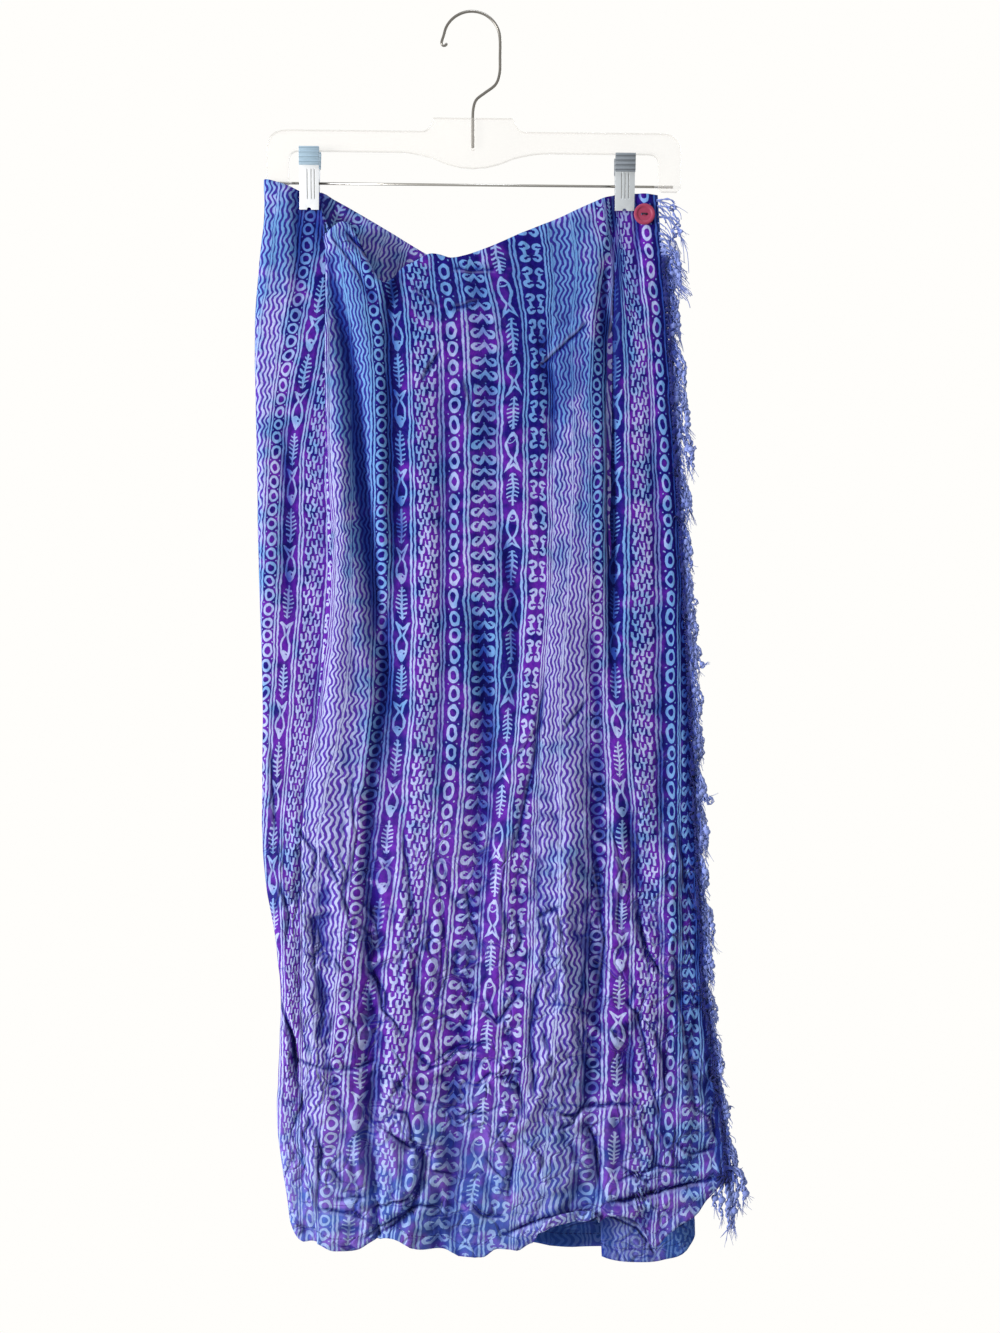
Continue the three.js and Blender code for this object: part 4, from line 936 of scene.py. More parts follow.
# ------------------------------------------------------------------ cloth pieces
def dye_and_painted_light_patches(x, z):
    """Placed soft patches: + bluer and darker, - lighter lavender; partly dye, partly painted shade in the valleys, by
    the tuck and along the outer end, and painted highlight on the lit ridges.
    """
    d = np.zeros(x.shape)
    for cx, cz, rx, rz, k in (
        (-98, -330, 22, 120, 0.42), (-70, -300, 22, 90, 0.20), (60, -260, 34, 90, 0.22), (118, -420, 16, 170, 0.26), (-160, -190, 26, 34, 0.24),
        (22, -560, 30, 90, 0.12), (70, -215, 40, 30, 0.22), (-16, -235, 40, 26, 0.16), (-90, -620, 20, 60, 0.16), (8, -1000, 60, 44, 0.14),
        (-120, -640, 26, 150, -0.26), (-60, -820, 70, 130, -0.20), (90, -560, 34, 130, -0.24), (150, -840, 50, 120, -0.12),
        (-150, -900, 50, 90, -0.14), (60, -930, 50, 80, -0.16), (-115, -420, 14, 130, -0.22), (30, -760, 60, 110, -0.10), (186, -780, 12, 260, 0.20),
        (171, -500, 8, 320, 0.26),
    ):
        d += k * np.exp(-(((x - cx) / rx) ** 2) - ((z - cz) / rz) ** 2)
    return d


def back_print(x, z):
    """The back's print runs the other way seen from the front, and leans at the waist."""
    left = 0.431 * (1 - smooth((x + 40) / 160))
    fall = 110.0
    p = 48.5 - (x + 100.3) + left * fall * (np.exp(np.minimum((z + 176) / fall, 0.3)) - 1) - 52 * smooth((-200 - z) / 820)
    v = -(z + left * 0.9 * (x + 100) * np.exp(np.minimum((z + 176) / fall, 0.3)))
    return p, v


def under_print(x, z):
    """Goes on round the right fold from the back."""
    right = guide("back", z)
    p0, v0 = back_print(right, z)
    return p0 - 8 - (right - x), v0


def hem_curl(pts, hem_d):
    """The hem rolls forward and up, so that a strip of the inside shows."""
    x0, x1, length, r = CURL
    x, y, z = pts[..., 0], pts[..., 1], pts[..., 2]
    k = smooth((x - x0) / 9) * smooth((x1 - x) / 8)
    s = np.clip(length - hem_d, 0, length)
    a = np.minimum(s / r, 0.94 * math.pi)
    rest = np.maximum(s - 0.94 * math.pi * r, 0)
    up = z + s - r * np.sin(a) + rest
    out = pts.copy()
    out[..., 2] = lerp(z, up, k)
    out[..., 1] = y - k * (r * (1 - np.cos(a)) + 0.12 * rest)
    return out


def cloth_piece(name, section, top, hem, rows, relief, node, dye_and_painted_light_fn, tilt=None, lines=(), after=None):
    pts, P, ends = grid(section, top, hem, rows, relief)
    X, Y, Z = pts[..., 0], pts[..., 1], pts[..., 2]
    hem_d = Z - ends[1][None, :]
    top_d = ends[0][None, :] - Z
    along = -Z
    band = np.minimum(hem_d, top_d)
    thick = THICK + 0.55 * (1 - smooth((band - 10.0) / 2.0))
    dye_and_painted_light = dye_and_painted_light_fn(X, Z)
    if tilt is not None:
        P, along = tilt(X, Z)
    # painted shade: hollows, lying further back than the cloth beside them, are darkened
    out = 1.0 if name == "cloth_front" else -1.0
    shade = np.clip(out * (Y - smooth_y(Y, 9)) / 3.2, 0, 1) * 0.6
    shade += np.clip(out * (Y - smooth_y(smooth_y(Y, 3).T, 3).T) / 1.1, 0, 1) * 0.9
    if name == "cloth_front":
        # painted shade in the narrow wedge right of the tuck, its colour pushed towards the navy dye too
        tuck = curve1([-195, -228, -290, -350, -430, -600], [122.5, 121.5, 118, 115, 114.5, 117], Z)
        wedge = smooth((X - tuck) / 1.5) * smooth((tuck + 9 - X) / 6.0) * smooth((-188 - Z) / 40) * smooth((Z + 640) / 260)
        shade = shade + 0.5 * wedge
        dye_and_painted_light = dye_and_painted_light + 0.2 * wedge
        # painted deep shade in the two deepest hollows: the tuck, and left of the long fold
        deep_shade = wedge.copy()
        fold = curve1([-205, -272, -332, -400, -468, -536, -587, -690], [-124, -108, -101, -96, -88, -81, -76, -74], Z)
        deep_shade += 0.55 * np.exp(-(((X - fold + 5) / 6.5) ** 2)) * smooth((-230 - Z) / 60) * smooth((Z + 700) / 160)
        # the panel below the dip and right of it is made darker through the shade attribute and bluer through the dye
        shade = shade + 0.2 * np.exp(-(((X - 42) / 72) ** 2) - ((Z + 285) / 95) ** 2)
        dye_and_painted_light = dye_and_painted_light + 0.06 * np.exp(-(((X - 42) / 62) ** 2) - ((Z + 285) / 90) ** 2)
        # painted shade: a darker hollow below the slanting crease right of the middle
        shade = shade + 0.35 * np.exp(-(((X - 82) / 13) ** 2) - ((Z + 308) / 26) ** 2)
        # painted shade along the outer end, where the cloth turns back towards the wall, its colour pushed towards the
        # navy dye too
        rim = smooth((X - guide("edge", Z) + 7.5) / 2.0)
        shade = shade + 0.85 * rim
        dye_and_painted_light = dye_and_painted_light + 0.5 * rim
    shade = np.clip(shade, 0, 1)
    zero = np.zeros_like(X)
    if name != "cloth_front":
        deep_shade = zero
    if name == "cloth_under":
        # its free end lies in the shadow of the front's corner
        free = table(UNDER_END, Z)
        shade = np.clip(shade + 0.9 * smooth((free + 16 - X) / 12) + 0.14, 0, 1)
        deep_shade = 0.3 * smooth((free + 10 - X) / 8)
    if name == "cloth_back":
        # what shows below the front's hem lies in its shadow
        shade = np.clip(shade + 0.8 * smooth((80 - hem_d) / 30) * smooth((X + 20) / 30), 0, 1)
        deep_shade = 0.3 * smooth((80 - hem_d) / 30) * smooth((X + 20) / 30)
    low = 0.12 + 0.88 * low_down(Z)
    turned = smooth((24 - hem_d) / 4) * smooth((X - 46) / 6) * smooth((112 - X) / 6)
    fade = 0.1 * smooth((-480 - Z) / 300) + 0.8 * smooth((170 - hem_d) / 150) * (0.5 + 0.9 * noise2(X / 60, Z / 60, 5))
    fade *= {"cloth_front": 1 - 0.45 * smooth((X - 60) / 60), "cloth_back": 0.35, "cloth_under": 0.6}[name]
    if name == "cloth_front":
        # painted shade: a dark line where the turned-up hem meets the front
        shade += 0.9 * np.exp(-(((hem_d - 21.5) / 2.6) ** 2)) * smooth((X - 46) / 6) * smooth((112 - X) / 6)
    shade = np.clip(shade, 0, 1) * (1 - 0.35 * np.clip(fade, 0, 1))
    at, power = crease_field(X, Z, lines)
    if name != "cloth_front":
        at = -at
    if after is not None:
        pts = after(pts, hem_d)
    ob = shell(name, pts, P, thick, {
        "crease_at": (at, -at), "crease": (power, power),
        "print_across": (P, P), "print_along": (along, along), "hem": (hem_d, hem_d), "dye_and_painted_light": (dye_and_painted_light, dye_and_painted_light), "crumple": (low, low), "fade": (fade, fade),
        "shade": (shade, zero), "deep_shade": (np.clip(deep_shade, 0, 1), zero), "inside": (zero, 1 - turned) if name == "cloth_front" else (zero + 1, zero),
    })
    ob.data.materials.append(CLOTH)
    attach(ob, "root")
    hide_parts(node)
    return ob, pts, P


def smooth_y(Y, k=9):
    """Running mean across, to tell hollows from ridges."""
    pad = np.pad(Y, ((0, 0), (k, k)), mode="edge")
    c = np.cumsum(np.pad(pad, ((0, 0), (1, 0))), axis=1)
    return (c[:, 2 * k + 1 :] - c[:, : -2 * k - 1]) / (2 * k + 1)


def front_extra(x, z):
    y = front_relief(x, z)
    # the loose top edge rolls forward between the left clip and the dip
    top = table(FRONT_TOP, x)
    near = np.exp(-(((top - z) / 13.0) ** 2)) * smooth((x + 129) / 8) * smooth((-66 - x) / 12)
    y = y - 4.5 * near
    # the hem kicks out to the right, and its corner turns forward
    hem = table(FRONT_HEM, x)
    kick = np.exp(-(((z - hem) / 26.0) ** 2))
    y = y - 3.2 * kick * smooth((x - 30) / 60)
    y = y - 1.6 * kick * np.sin(x / 13.0)
    return y * (1 - pinch(x, z))


front, FRONT_PTS, FRONT_P = cloth_piece("cloth_front", front_section, FRONT_TOP, FRONT_HEM, 262, front_extra, "front_panel", dye_and_painted_light_patches,
                                         lines=CREASES + FINE, after=hem_curl)
# The back's creases: like the front's, turned about and shifted.
BACK_CREASES = [([(14 - 0.93 * x, z - 12 if z > -1000 else z + 6) for x, z in pts], w, h) for pts, w, h in CREASES + FINE[::2] if pts[0][1] < -500]


def back_shape(x, z):
    y = back_relief(x, z)
    for pts, w, h in BACK_CREASES:
        best, side, t = to_line(x, z, pts)
        w = max(w, 2.4)
        taper = np.clip(5 * t + 0.2, 0, 1) * np.clip(5 * (1 - t) + 0.2, 0, 1)
        y -= 1.3 * h * taper * (np.exp(-((best / (0.8 * w)) ** 2)) - 0.5 * np.exp(-(((best - 2.1 * w) / (1.5 * w)) ** 2)))
    for pts, w, d in (([(-126, -200), (-112, -330), (-108, -470)], 9, 4.5), ([(131, -200), (120, -330), (116, -450)], 9, 4.0),
                      ([(-60, -260), (-52, -420), (-60, -600)], 13, 2.2), ([(20, -300), (30, -480), (22, -700)], 13, -2.4),
                      ([(70, -420), (78, -600), (74, -820)], 12, 2.4), ([(-20, -520), (-34, -700), (-28, -880)], 12, -2.2),
                      ([(-110, -560), (-118, -720), (-112, -900)], 10, 2.4), ([(140, -560), (146, -720), (140, -900)], 10, 2.2)):
        best, _, t = to_line(x, z, pts)
        y -= d * np.exp(-((best / w) ** 2)) * np.clip(4 * t + 0.1, 0, 1) * np.clip(4 * (1 - t) + 0.1, 0, 1) * (1 - pinch(x, z))
    return y


def back_dye(x, z):
    d = -0.02 + 0 * x
    for cx, cz, rx, rz, k in ((-110, -380, 30, 160, 0.26), (40, -300, 40, 120, -0.2), (90, -640, 36, 170, 0.2), (-40, -700, 40, 150, -0.22),
                              (-120, -860, 40, 110, -0.16), (20, -960, 70, 60, 0.18), (140, -400, 24, 150, -0.18)):
        d += k * np.exp(-(((x - cx) / rx) ** 2) - ((z - cz) / rz) ** 2)
    return d


LAP_CREASES = [([(108, -1024), (116, -1028), (140, -1038), (158, -1062)], 2.6, 2.8), ([(150, -1052), (166, -1040), (186, -1030)], 2.0, 2.0)]
back, BACK_PTS, _ = cloth_piece("cloth_back", back_section, BACK_TOP, BACK_HEM, 250, back_shape, "back_panel", back_dye, back_print, lines=BACK_CREASES)
under, UNDER_PTS, _ = cloth_piece(
    "cloth_under", under_section, BACK_TOP, UNDER_HEM, 200, lambda x, z: 0.3 * back_relief(x, z, 1), "under_lap",
    lambda x, z: -0.1 + 0.5 * smooth((x - 158) / 16), under_print, lines=LAP_CREASES
)


# ------------------------------------------------------------------ tubes and yarn
def tube(points, radii, sides=6, caps=True):
    """Vertices and faces of a tube along points."""
    pts = np.asarray(points, float)
    n = len(pts)
    radii = np.broadcast_to(np.asarray(radii, float), (n,))
    tan = np.gradient(pts, axis=0)
    tan /= np.maximum(np.linalg.norm(tan, axis=1, keepdims=True), 1e-9)
    ref = np.array([0.0, 1.0, 0.0]) if abs(tan[0][1]) < 0.9 else np.array([1.0, 0, 0])
    verts, faces = [], []
    u = np.cross(tan[0], ref)
    u /= np.linalg.norm(u)
    for i in range(n):
        u = u - tan[i] * np.dot(u, tan[i])
        u /= max(np.linalg.norm(u), 1e-9)
        w = np.cross(tan[i], u)
        for k in range(sides):
            a = 2 * math.pi * k / sides
            verts.append(pts[i] + radii[i] * (math.cos(a) * u + math.sin(a) * w))
    for i in range(n - 1):
        for k in range(sides):
            k2 = (k + 1) % sides
            faces.append((i * sides + k, i * sides + k2, (i + 1) * sides + k2, (i + 1) * sides + k))
    if caps:
        faces.append(tuple(range(sides))[::-1])
        faces.append(tuple((n - 1) * sides + k for k in range(sides)))
    return verts, faces


class Builder:
    def __init__(self):
        self.v, self.f, self.tag = [], [], []

    def add(self, verts, faces, tag=0.0):
        o = len(self.v)
        self.v.extend([tuple(p) for p in verts])
        self.f.extend([tuple(i + o for i in f) for f in faces])
        self.tag.extend([tag] * len(verts))

    def object(self, name, mat, smooth_shade=True, tag_name="strand", away=None):
        me = bpy.data.meshes.new(name)
        me.from_pydata([(x * MM, y * MM, z * MM) for x, y, z in self.v], [], self.f)
        me.update()
        bm = bmesh.new()
        bm.from_mesh(me)
        bmesh.ops.recalc_face_normals(bm, faces=bm.faces)
        bm.to_mesh(me)
        bm.free()
        at = me.attributes.new(tag_name, "FLOAT", "POINT")
        at.data.foreach_set("value", np.array(self.tag, np.float32))
        if away is not None:
            at = me.attributes.new("away", "FLOAT", "POINT")
            at.data.foreach_set("value", away.astype(np.float32))
        if smooth_shade:
            me.shade_smooth()
        ob = bpy.data.objects.new(name, me)
        scene.collection.objects.link(ob)
        if mat:
            me.materials.append(mat)
        return ob


def yarn_material():
    mat, g, bsdf = material("yarn", Roughness=0.86, Sheen_Weight=0.08, Sheen_Roughness=0.5)
    bsdf.inputs["Specular IOR Level"].default_value = 0.1
    s = g.attr("strand")
    coord = g.node("ShaderNodeTexCoord").outputs["Object"]
    patches = g.noise(coord, 60.0, 2.0, 0.6)
    fibre = g.noise(coord, 900.0, 2.0, 0.6)
    away = g.attr("away")
    c = g.mix(g.step(g.fract(s * 7.31), 0.1, 0.9), rgb("8494D6"), rgb("3A4EA4"))
    c = g.mix(g.step(patches, 0.42, 0.6) * 0.4, c, rgb("1C2770"))
    # painted light: paler towards the loose ends, with pale flecks there; painted shade: near navy-black close to the
    # cloth's edge, where the yarn lies packed
    c = g.mix(g.step(away, 0.55, 1.0) * 0.55, c, rgb("97A5DC"))
    c = g.mix(g.step(away + (patches - 0.5) * 0.6, 0.55, 0.15) * 0.92, c, rgb("0B1258"))
    c = g.mix(g.step(fibre, 0.5, 0.75) * 0.3 * away, c, rgb("A2AEDC"))
    g.feed(bsdf.inputs["Base Color"], c)
    g.feed(bsdf.inputs["Normal"], g.bump(fibre, 0.6, 0.0004))
    return mat


YARN = yarn_material()
FRINGE_TIPS = [(-160, 170), (-176, 181), (-272, 182.8), (-374, 187.8), (-468, 189), (-587, 197), (-714, 202.5), (-842, 209), (-940, 222),
               (-1011, 232), (-1053, 228)]


def edge_point(z):
    """A point on the outer end of the front at a height."""
    col = FRONT_PTS[:, -1, :]
    i = int(np.argmin(np.abs(col[:, 2] - z)))
    return col[i].copy()


def tassel(b, root, out, drop, rng, thick=1.2, frays=4, curl=1.6, coil=True, n=22):
    """One tassel of two twisted plies: out of the edge and down, waving, with a knot, a curled or frayed end."""
    t = np.linspace(0, 1, n)
    wave = curl * smooth(t / 0.35)
    ph, turns = rng.uniform(0, 6.3), rng.uniform(1.4, 3.4)
    path = np.stack([
        root[0] - 1.2 + out * (1 - np.exp(-t / 0.14)) + wave * np.cos(ph + 2 * math.pi * turns * t),
        root[1] - 0.4 + rng.uniform(-1.2, 1.4) * t + 0.7 * wave * np.sin(ph + 2 * math.pi * turns * t),
        root[2] + rng.uniform(0.5, 3.0) * np.sin(np.pi * np.clip(t * 3.0, 0, 1)) - drop * t,
    ], 1)
    if coil:
        w = np.clip((t - 0.76) / 0.24, 0, 1) * rng.uniform(1.0, 1.7) * math.pi
        r, side = rng.uniform(1.8, 3.2), rng.choice([-1.0, 1.0])
        path[:, 0] += side * r * (1 - np.cos(w))
        path[:, 2] += drop * np.clip(t - 0.76, 0, 1) - r * np.sin(w)
    tan = np.gradient(path, axis=0)
    tan /= np.maximum(np.linalg.norm(tan, axis=1, keepdims=True), 1e-6)
    n1 = np.cross(tan, [0.0, 1.0, 0.0])
    n1 /= np.maximum(np.linalg.norm(n1, axis=1, keepdims=True), 1e-6)
    n2 = np.cross(tan, n1)
    length = float(np.linalg.norm(np.diff(path, axis=0), axis=1).sum())
    tag = rng.random()
    for k in range(2):
        a = 2 * math.pi * length / 10.5 * t + math.pi * k
        off = 0.6 * thick * (np.cos(a)[:, None] * n1 + np.sin(a)[:, None] * n2)
        b.add(*tube(path + off, thick * 0.66 * (1 - 0.2 * t), 3), tag=tag + 0.12 * k)
    kt = rng.uniform(0.5, 0.82)
    kp = np.array([np.interp(kt, t, path[:, k]) for k in range(3)])
    kd = np.array([np.interp(kt, t, tan[:, k]) for k in range(3)])
    ring = np.linspace(-1, 1, 5)
    b.add(*tube(kp + ring[:, None] * kd * thick * 1.3, thick * (0.75 + 0.95 * np.sqrt(1 - ring**2 * 0.9)), 6), tag=tag + 0.3)
    for _ in range(frays):
        d = tan[-1] * rng.uniform(2, 6) + rng.normal(0, 2.6, 3) * [1, 0.5, 1] + [0.8, 0, -4.5]
        s = path[-1] + rng.normal(0, 0.3, 3)
        mid = s + d * 0.5 + rng.normal(0, 1.0, 3) * [1, 0.5, 1]
        q = np.linspace(0, 1, 5)[:, None]
        b.add(*tube((1 - q) ** 2 * s + 2 * q * (1 - q) * mid + q * q * (s + d), np.linspace(0.36, 0.16, 5), 3), tag=tag + rng.uniform(0, 0.4))


def wisp(b, s, e, sag, r, tag, rng):
    q = np.linspace(0, 1, 10)[:, None]
    mid = (np.array(s) + e) / 2 + sag
    p = (1 - q) ** 2 * s + 2 * q * (1 - q) * mid + q * q * e
    p = p + 0.5 * np.sin(q * rng.uniform(8, 16) + rng.uniform(0, 6)) * [1, 0.6, 0.3]
    b.add(*tube(p, np.linspace(r, r * 0.6, 10), 3), tag=tag)


def make_fringe():
    b = Builder()
    rng = np.random.default_rng(11)
    foot = FRONT_PTS[-1, -1, 2]
    z = -196.0
    k = 0
    tuft, tuft_drop, tuft_out = z - 8, 28.0, 0.9
    while z > foot + 3:
        root = edge_point(z)
        reach = float(table(FRINGE_TIPS, z - 14)) - root[0]
        # strands gather into tufts that end close together, with shorter ones between
        if z < tuft - 11:
            tuft = z - rng.uniform(17, 32)
            tuft_drop, tuft_out = rng.uniform(24, 38), rng.uniform(0.9, 1.14)
        near = math.exp(-(((z - tuft) / 8.5) ** 2))
        out = max(2.5, reach * lerp(rng.uniform(0.12, 0.46), tuft_out - rng.uniform(0, 0.24), near) - 1.0)
        drop = lerp(rng.uniform(14, 24), tuft_drop + (z - tuft) + rng.uniform(-2, 3), near)
        tassel(b, root, out, max(9, drop), rng, thick=rng.uniform(1.2, 1.75), frays=int(rng.integers(3, 7)), curl=rng.uniform(0.4, 1.7),
               coil=rng.random() < 0.34)
        z -= rng.uniform(2.7, 5.0)
        k += 1
    # the inner band, dark from the yarn's painted shade: short twists lying close together along the edge
    for z in np.arange(-196, foot, -4.4):
        root = edge_point(z + rng.uniform(-2, 2))
        tassel(b, root + [0, 0.9, 0], rng.uniform(2.0, 5.5), rng.uniform(11, 18), rng, thick=rng.uniform(1.4, 1.8), frays=1, curl=rng.uniform(0.2, 0.7), coil=False, n=12)
    # fine loose threads all through it
    for _ in range(300):
        root = edge_point(rng.uniform(foot, -205))
        reach = float(table(FRINGE_TIPS, root[2] - 14)) - root[0]
        s = root + [reach * rng.uniform(0.05, 0.5), rng.uniform(-2.0, 0.6), rng.uniform(-3, 3)]
        e = s + [rng.uniform(-1, 4), rng.uniform(-0.8, 0.6), -rng.uniform(6, 18)]
        wisp(b, s, e, [rng.uniform(-1, 5), 0, rng.uniform(-1, 4)], rng.uniform(0.28, 0.5), rng.uniform(0.0, 1.0), rng)
    # fine loops and loose ends close to the edge
    for z in np.arange(-164, foot, -3.4):
        root = edge_point(z + rng.uniform(-1, 1))
        e = root + [rng.uniform(4, 11), rng.uniform(-1.5, 1.0), -rng.uniform(3, 16)]
        wisp(b, root - [0.9, 0, 0], e, [rng.uniform(0, 5), 0, rng.uniform(-1, 4)], 0.5, rng.random(), rng)
    # thin loose yarns at the very top: over, round and down beside a gap
    for z0, dx, dz in ((-161, 17, -9), (-162, 20, -16), (-163.5, 18, -27), (-165, 14, -40), (-167, 19, -34), (-169, 22, -48), (-171, 16, -52),
                       (-173, 26, -52), (-175, 15, -30), (-178, 17, -22), (-181, 14, -34), (-184, 18, -38), (-163, 12, -20), (-188, 15, -36)):
        root = edge_point(z0)
        if dx % 2 == 0:
            wisp(b, root - [0.9, 0, 0], root + [dx, rng.uniform(-2, 1), dz], [dx * 0.42, 0, -dz * 0.30], rng.uniform(0.4, 0.7), 0.9, rng)
        else:
            tassel(b, root, dx * rng.uniform(0.8, 1.15), -dz * rng.uniform(0.7, 1.0), rng, thick=rng.uniform(0.8, 1.15), frays=5, curl=rng.uniform(1.0, 2.2),
                   coil=rng.random() < 0.4)
    # a thick fuzzy clump below the gap
    for k in range(46):
        root = edge_point(-205 - rng.uniform(0, 22))
        e = root + [rng.uniform(8, 24), rng.uniform(-2.5, 1.5), -rng.uniform(10, 28)]
        wisp(b, root - [0.9, 0, 0], e, [rng.uniform(-2, 6), 0, rng.uniform(-3, 5)], rng.uniform(0.35, 0.7), rng.uniform(0.3, 1.0), rng)
    # the long tassels at the bottom corner
    corner = FRONT_PTS[-1, -1, :]
    for dx, drop, cu in ((3, 47, 0.9), (6, 43, 1.2), (-3, 34, 1.0), (11, 31, 1.4), (16, 22, 1.6), (-8, 28, 1.0), (8, 50, 0.7), (17, 28, 1.3)):
        tassel(b, corner + [-1.0, rng.uniform(-1.5, 1), rng.uniform(0, 12)], dx, drop, rng, thick=1.9, frays=6, curl=cu, coil=False)
    v = np.array(b.v)
    zc = np.clip(v[:, 2], -1045, -145)
    edge = guide("edge", zc)
    # how far out from the edge: the yarn's painted shade near the edge and painted highlight further out follow it
    away = np.clip((v[:, 0] - edge) / np.clip(0.52 * (table(FRINGE_TIPS, zc) - edge), 4.0, 10.0), 0, 1)
    away = np.maximum(away, smooth((foot - 2 - v[:, 2]) / 12.0))
    away = np.maximum(away, smooth((v[:, 2] + 214) / 12.0))  # pale right up to the edge at the top
    return b.object("fringe_yarn", YARN, away=away)


fringe = make_fringe()
print("fringe triangles", sum(len(p.vertices) - 2 for p in fringe.data.polygons))
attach(fringe, "root")
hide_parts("fringe")


# ------------------------------------------------------------------ hard materials
def steel(name, colour, rough, scale=400.0, metal=1.0):
    mat, g, bsdf = material(name, Metallic=metal, Roughness=rough)
    coord = g.node("ShaderNodeTexCoord").outputs["Object"]
    n = g.noise(coord, scale, 3.0, 0.6)
    spots = g.noise(coord, 45.0, 2.0, 0.5)
    c = g.mix(g.step(spots, 0.4, 0.7) * 0.35, rgb(colour), rgb(colour, 0.7))
    g.feed(bsdf.inputs["Base Color"], c)
    g.feed(bsdf.inputs["Roughness"], n * 0.18 + (rough - 0.06))
    g.feed(bsdf.inputs["Normal"], g.bump(n, 0.12, 0.0001))
    return mat


WIRE = steel("drawn_steel", "77746F", 0.3)


def rod_material():
    """Steel rod whose ends sit in pale moulded sockets."""
    mat, g, bsdf = material("rod_steel", Metallic=0.0, Roughness=0.28)
    coord = g.node("ShaderNodeTexCoord").outputs["Object"]
    sep = g.node("ShaderNodeSeparateXYZ")
    g.links.new(coord, sep.inputs[0])
    end = g.step(g.abs(Val(g, sep.outputs[0]) * 1000.0), 154.3, 155.3)
    n = g.noise(coord, 400.0, 3.0, 0.6)
    g.feed(bsdf.inputs["Base Color"], g.mix(end, g.mix(n * 0.35, rgb("A5A39E"), rgb("84827E")), rgb("DAD8D4")))
    g.feed(bsdf.inputs["Metallic"], 1.0 - end)
    g.feed(bsdf.inputs["Roughness"], n * 0.18 + 0.22)
    g.feed(bsdf.inputs["Normal"], g.bump(n, 0.12, 0.0001))
    return mat


ROD = rod_material()


def place_mm(g):
    sep = g.node("ShaderNodeSeparateXYZ")
    g.links.new(g.node("ShaderNodeTexCoord").outputs["Object"], sep.inputs[0])
    return [Val(g, sep.outputs[k]) * 1000.0 for k in range(3)]


def plate_material(name, colour, grooves, z0, z1, metal):
    """Pressed clip plate: three thin upright grooves darkened as painted shade, faint brushing."""
    mat, g, bsdf = material(name, Metallic=metal, Roughness=0.36)
    x, _, z = place_mm(g)
    mask = None
    for gx in grooves:
        m = g.step(g.abs(x - gx), 0.55, 0.2)
        mask = m if mask is None else g.max(mask, m)
    mask = mask * g.step(z, z0, z0 + 1.2) * g.step(z, z1, z1 - 1.2)
    brush = g.noise(g.xyz(x * 0.4, z * 3.0, 0.0), 1.0, 2.0, 0.6)
    c = g.mix(brush * 0.3, rgb(colour), rgb(colour, 0.8))
    c = g.mix(mask * 0.75, c, rgb("6F6E6C"))
    g.feed(bsdf.inputs["Base Color"], c)
    g.feed(bsdf.inputs["Normal"], g.bump(1.0 - mask, 0.8, 0.0007, g.bump(brush, 0.1, 0.0001)))
    return mat


PLATE_L = plate_material("clip_plate_bright", "E2E4E6", (-141.1, -137.7, -135.0), -160.5, -134.5, 0.15)
PLATE_R = plate_material("clip_plate_grey", "BCC1C4", (126.6, 129.6, 132.6), -160.5, -137.5, 0.35)


def cap_material(name, colour, dark, top):
    """Rubber grip cap, ribbed across, the grooves between the ribs darkened as painted shade."""
    mat, g, bsdf = material(name, Roughness=0.5)
    _, _, z = place_mm(g)
    rib = g.step(g.abs(g.fract((z - top) / 3.8) - 0.5), 0.34, 0.5)
    n = g.noise(g.node("ShaderNodeTexCoord").outputs["Object"], 500.0, 3.0, 0.6)
    c = g.mix(n * 0.4, rgb(colour), rgb(colour, 0.75))
    c = g.mix(rib * 0.8, c, rgb(dark))
    g.feed(bsdf.inputs["Base Color"], c)
    g.feed(bsdf.inputs["Normal"], g.bump(n - rib * 2.0, 0.4, 0.0005))
    return mat


CAP_L = cap_material("clip_cap_light", "9DB4C4", "5E7484", -118.2)
CAP_R = cap_material("clip_cap_dark", "7C838A", "4E545C", -121.1)


def clear_material():
    """Clear moulded plastic: nearly all seen through; the pale edge where it turns away is a painted reflection, made
    by raising its opacity there.
    """
    mat, g, bsdf = material("clear_plastic", Base_Color=rgb("E9E4DC"), Roughness=0.08)
    bsdf.inputs["Specular IOR Level"].default_value = 0.6
    coord = g.node("ShaderNodeTexCoord").outputs["Object"]
    n = g.noise(coord, 30.0, 2.0, 0.5)
    turn = Val(g, g.node("ShaderNodeLayerWeight").outputs["Facing"])
    g.feed(bsdf.inputs["Alpha"], g.step(turn, 0.25, 1.0) * 0.5 + 0.13)
    g.feed(bsdf.inputs["Normal"], g.bump(n, 0.08, 0.0006))
    g.feed(bsdf.inputs["Roughness"], n * 0.06 + 0.05)
    return mat


CLEAR = clear_material()


def button_material():
    mat, g, bsdf = material("button_raspberry", Roughness=0.5)
    bsdf.inputs["Specular IOR Level"].default_value = 0.3
    coord = g.node("ShaderNodeTexCoord").outputs["Object"]
    n = g.noise(coord, 160.0, 3.0, 0.6)
    c = g.mix(n * 0.6, rgb("983652"), rgb("802845"))
    g.feed(bsdf.inputs["Base Color"], c)
    g.feed(bsdf.inputs["Normal"], g.bump(n, 0.12, 0.0003))
    return mat


BUTTON = button_material()
THREAD, tg, tb = material("button_thread", Roughness=0.85)
tg.feed(tb.inputs["Base Color"], tg.mix(tg.noise(tg.node("ShaderNodeTexCoord").outputs["Object"], 700.0), rgb("2A1430"), rgb("120818")))


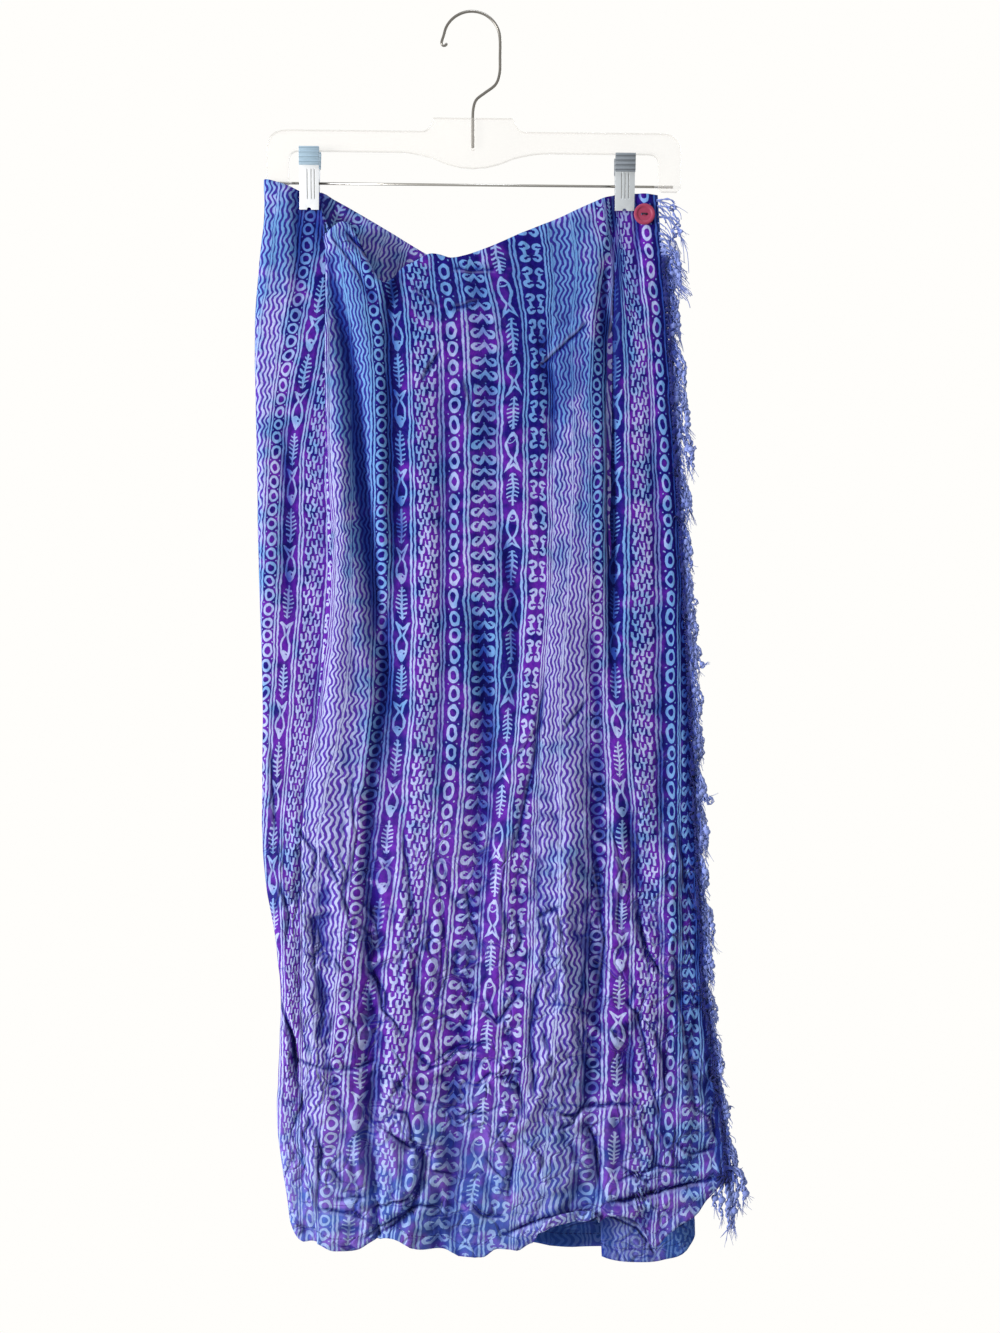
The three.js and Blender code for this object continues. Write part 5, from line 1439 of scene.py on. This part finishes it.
def finer(node, mat, bevel=0.0, segments=2, subdivide=0, smooth_angle=50.0):
    """A finer copy of a plain CAD piece: rounded edges, smooth curves, its own material."""
    src = bpy.data.objects[node]
    me = src.data.copy()
    me.materials.clear()
    me.materials.append(mat)
    ob = bpy.data.objects.new(node + "_fine", me)
    ob.matrix_world = src.matrix_world.copy()
    scene.collection.objects.link(ob)
    bm = bmesh.new()
    bm.from_mesh(me)
    bmesh.ops.remove_doubles(bm, verts=bm.verts, dist=1e-6)
    if bevel:
        bmesh.ops.dissolve_limit(bm, angle_limit=math.radians(1.5), verts=bm.verts, edges=bm.edges)
        sharp = [e for e in bm.edges if len(e.link_faces) == 2 and e.calc_face_angle(0) > math.radians(32)]
        bmesh.ops.bevel(bm, geom=sharp, offset=bevel * MM, segments=segments, profile=0.6, affect="EDGES", clamp_overlap=True)
    bmesh.ops.triangulate(bm, faces=[f for f in bm.faces if len(f.verts) > 4])
    bm.to_mesh(me)
    bm.free()
    me.shade_smooth()
    if smooth_angle:
        me.set_sharp_from_angle(angle=math.radians(smooth_angle))
    if subdivide:
        mod = ob.modifiers.new("round", "SUBSURF")
        mod.levels = mod.render_levels = subdivide
    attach(ob, "root")
    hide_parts(node)
    return ob


finer("hanger_bar", CLEAR, bevel=1.1, segments=3)
finer("rod", ROD)
finer("hook", WIRE, subdivide=1, smooth_angle=0)
for side, plate, cap in (("left", PLATE_L, CAP_L), ("right", PLATE_R, CAP_R)):
    for face in ("front", "back"):
        finer(f"{side}_clip_{face}", plate, bevel=0.22)
        finer(f"{side}_clip_{face}_cap", cap, bevel=0.35)
    finer(f"{side}_clip_spring", WIRE)
button = finer("button", BUTTON, bevel=0.3)

# thread through the button's two holes
box = [button.matrix_world @ Vector(c) for c in button.bound_box]
face_y = min(v.y for v in box) / MM
tb_ = Builder()
for dz in (-0.35, 0.35):
    tb_.add(*tube([(143.7, face_y + 1.5, -173.6 + dz), (144.0, face_y + 0.55, -173.6 + dz), (146.0, face_y + 0.35, -173.9 + dz),
                   (147.8, face_y + 0.55, -174.1 + dz), (148.1, face_y + 1.5, -174.1 + dz)], 0.36, 6), tag=0.5)
thread = tb_.object("button_thread", THREAD)
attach(thread, "root")

# ------------------------------------------------------------------ sizes and the end
box = [list(c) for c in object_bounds()]
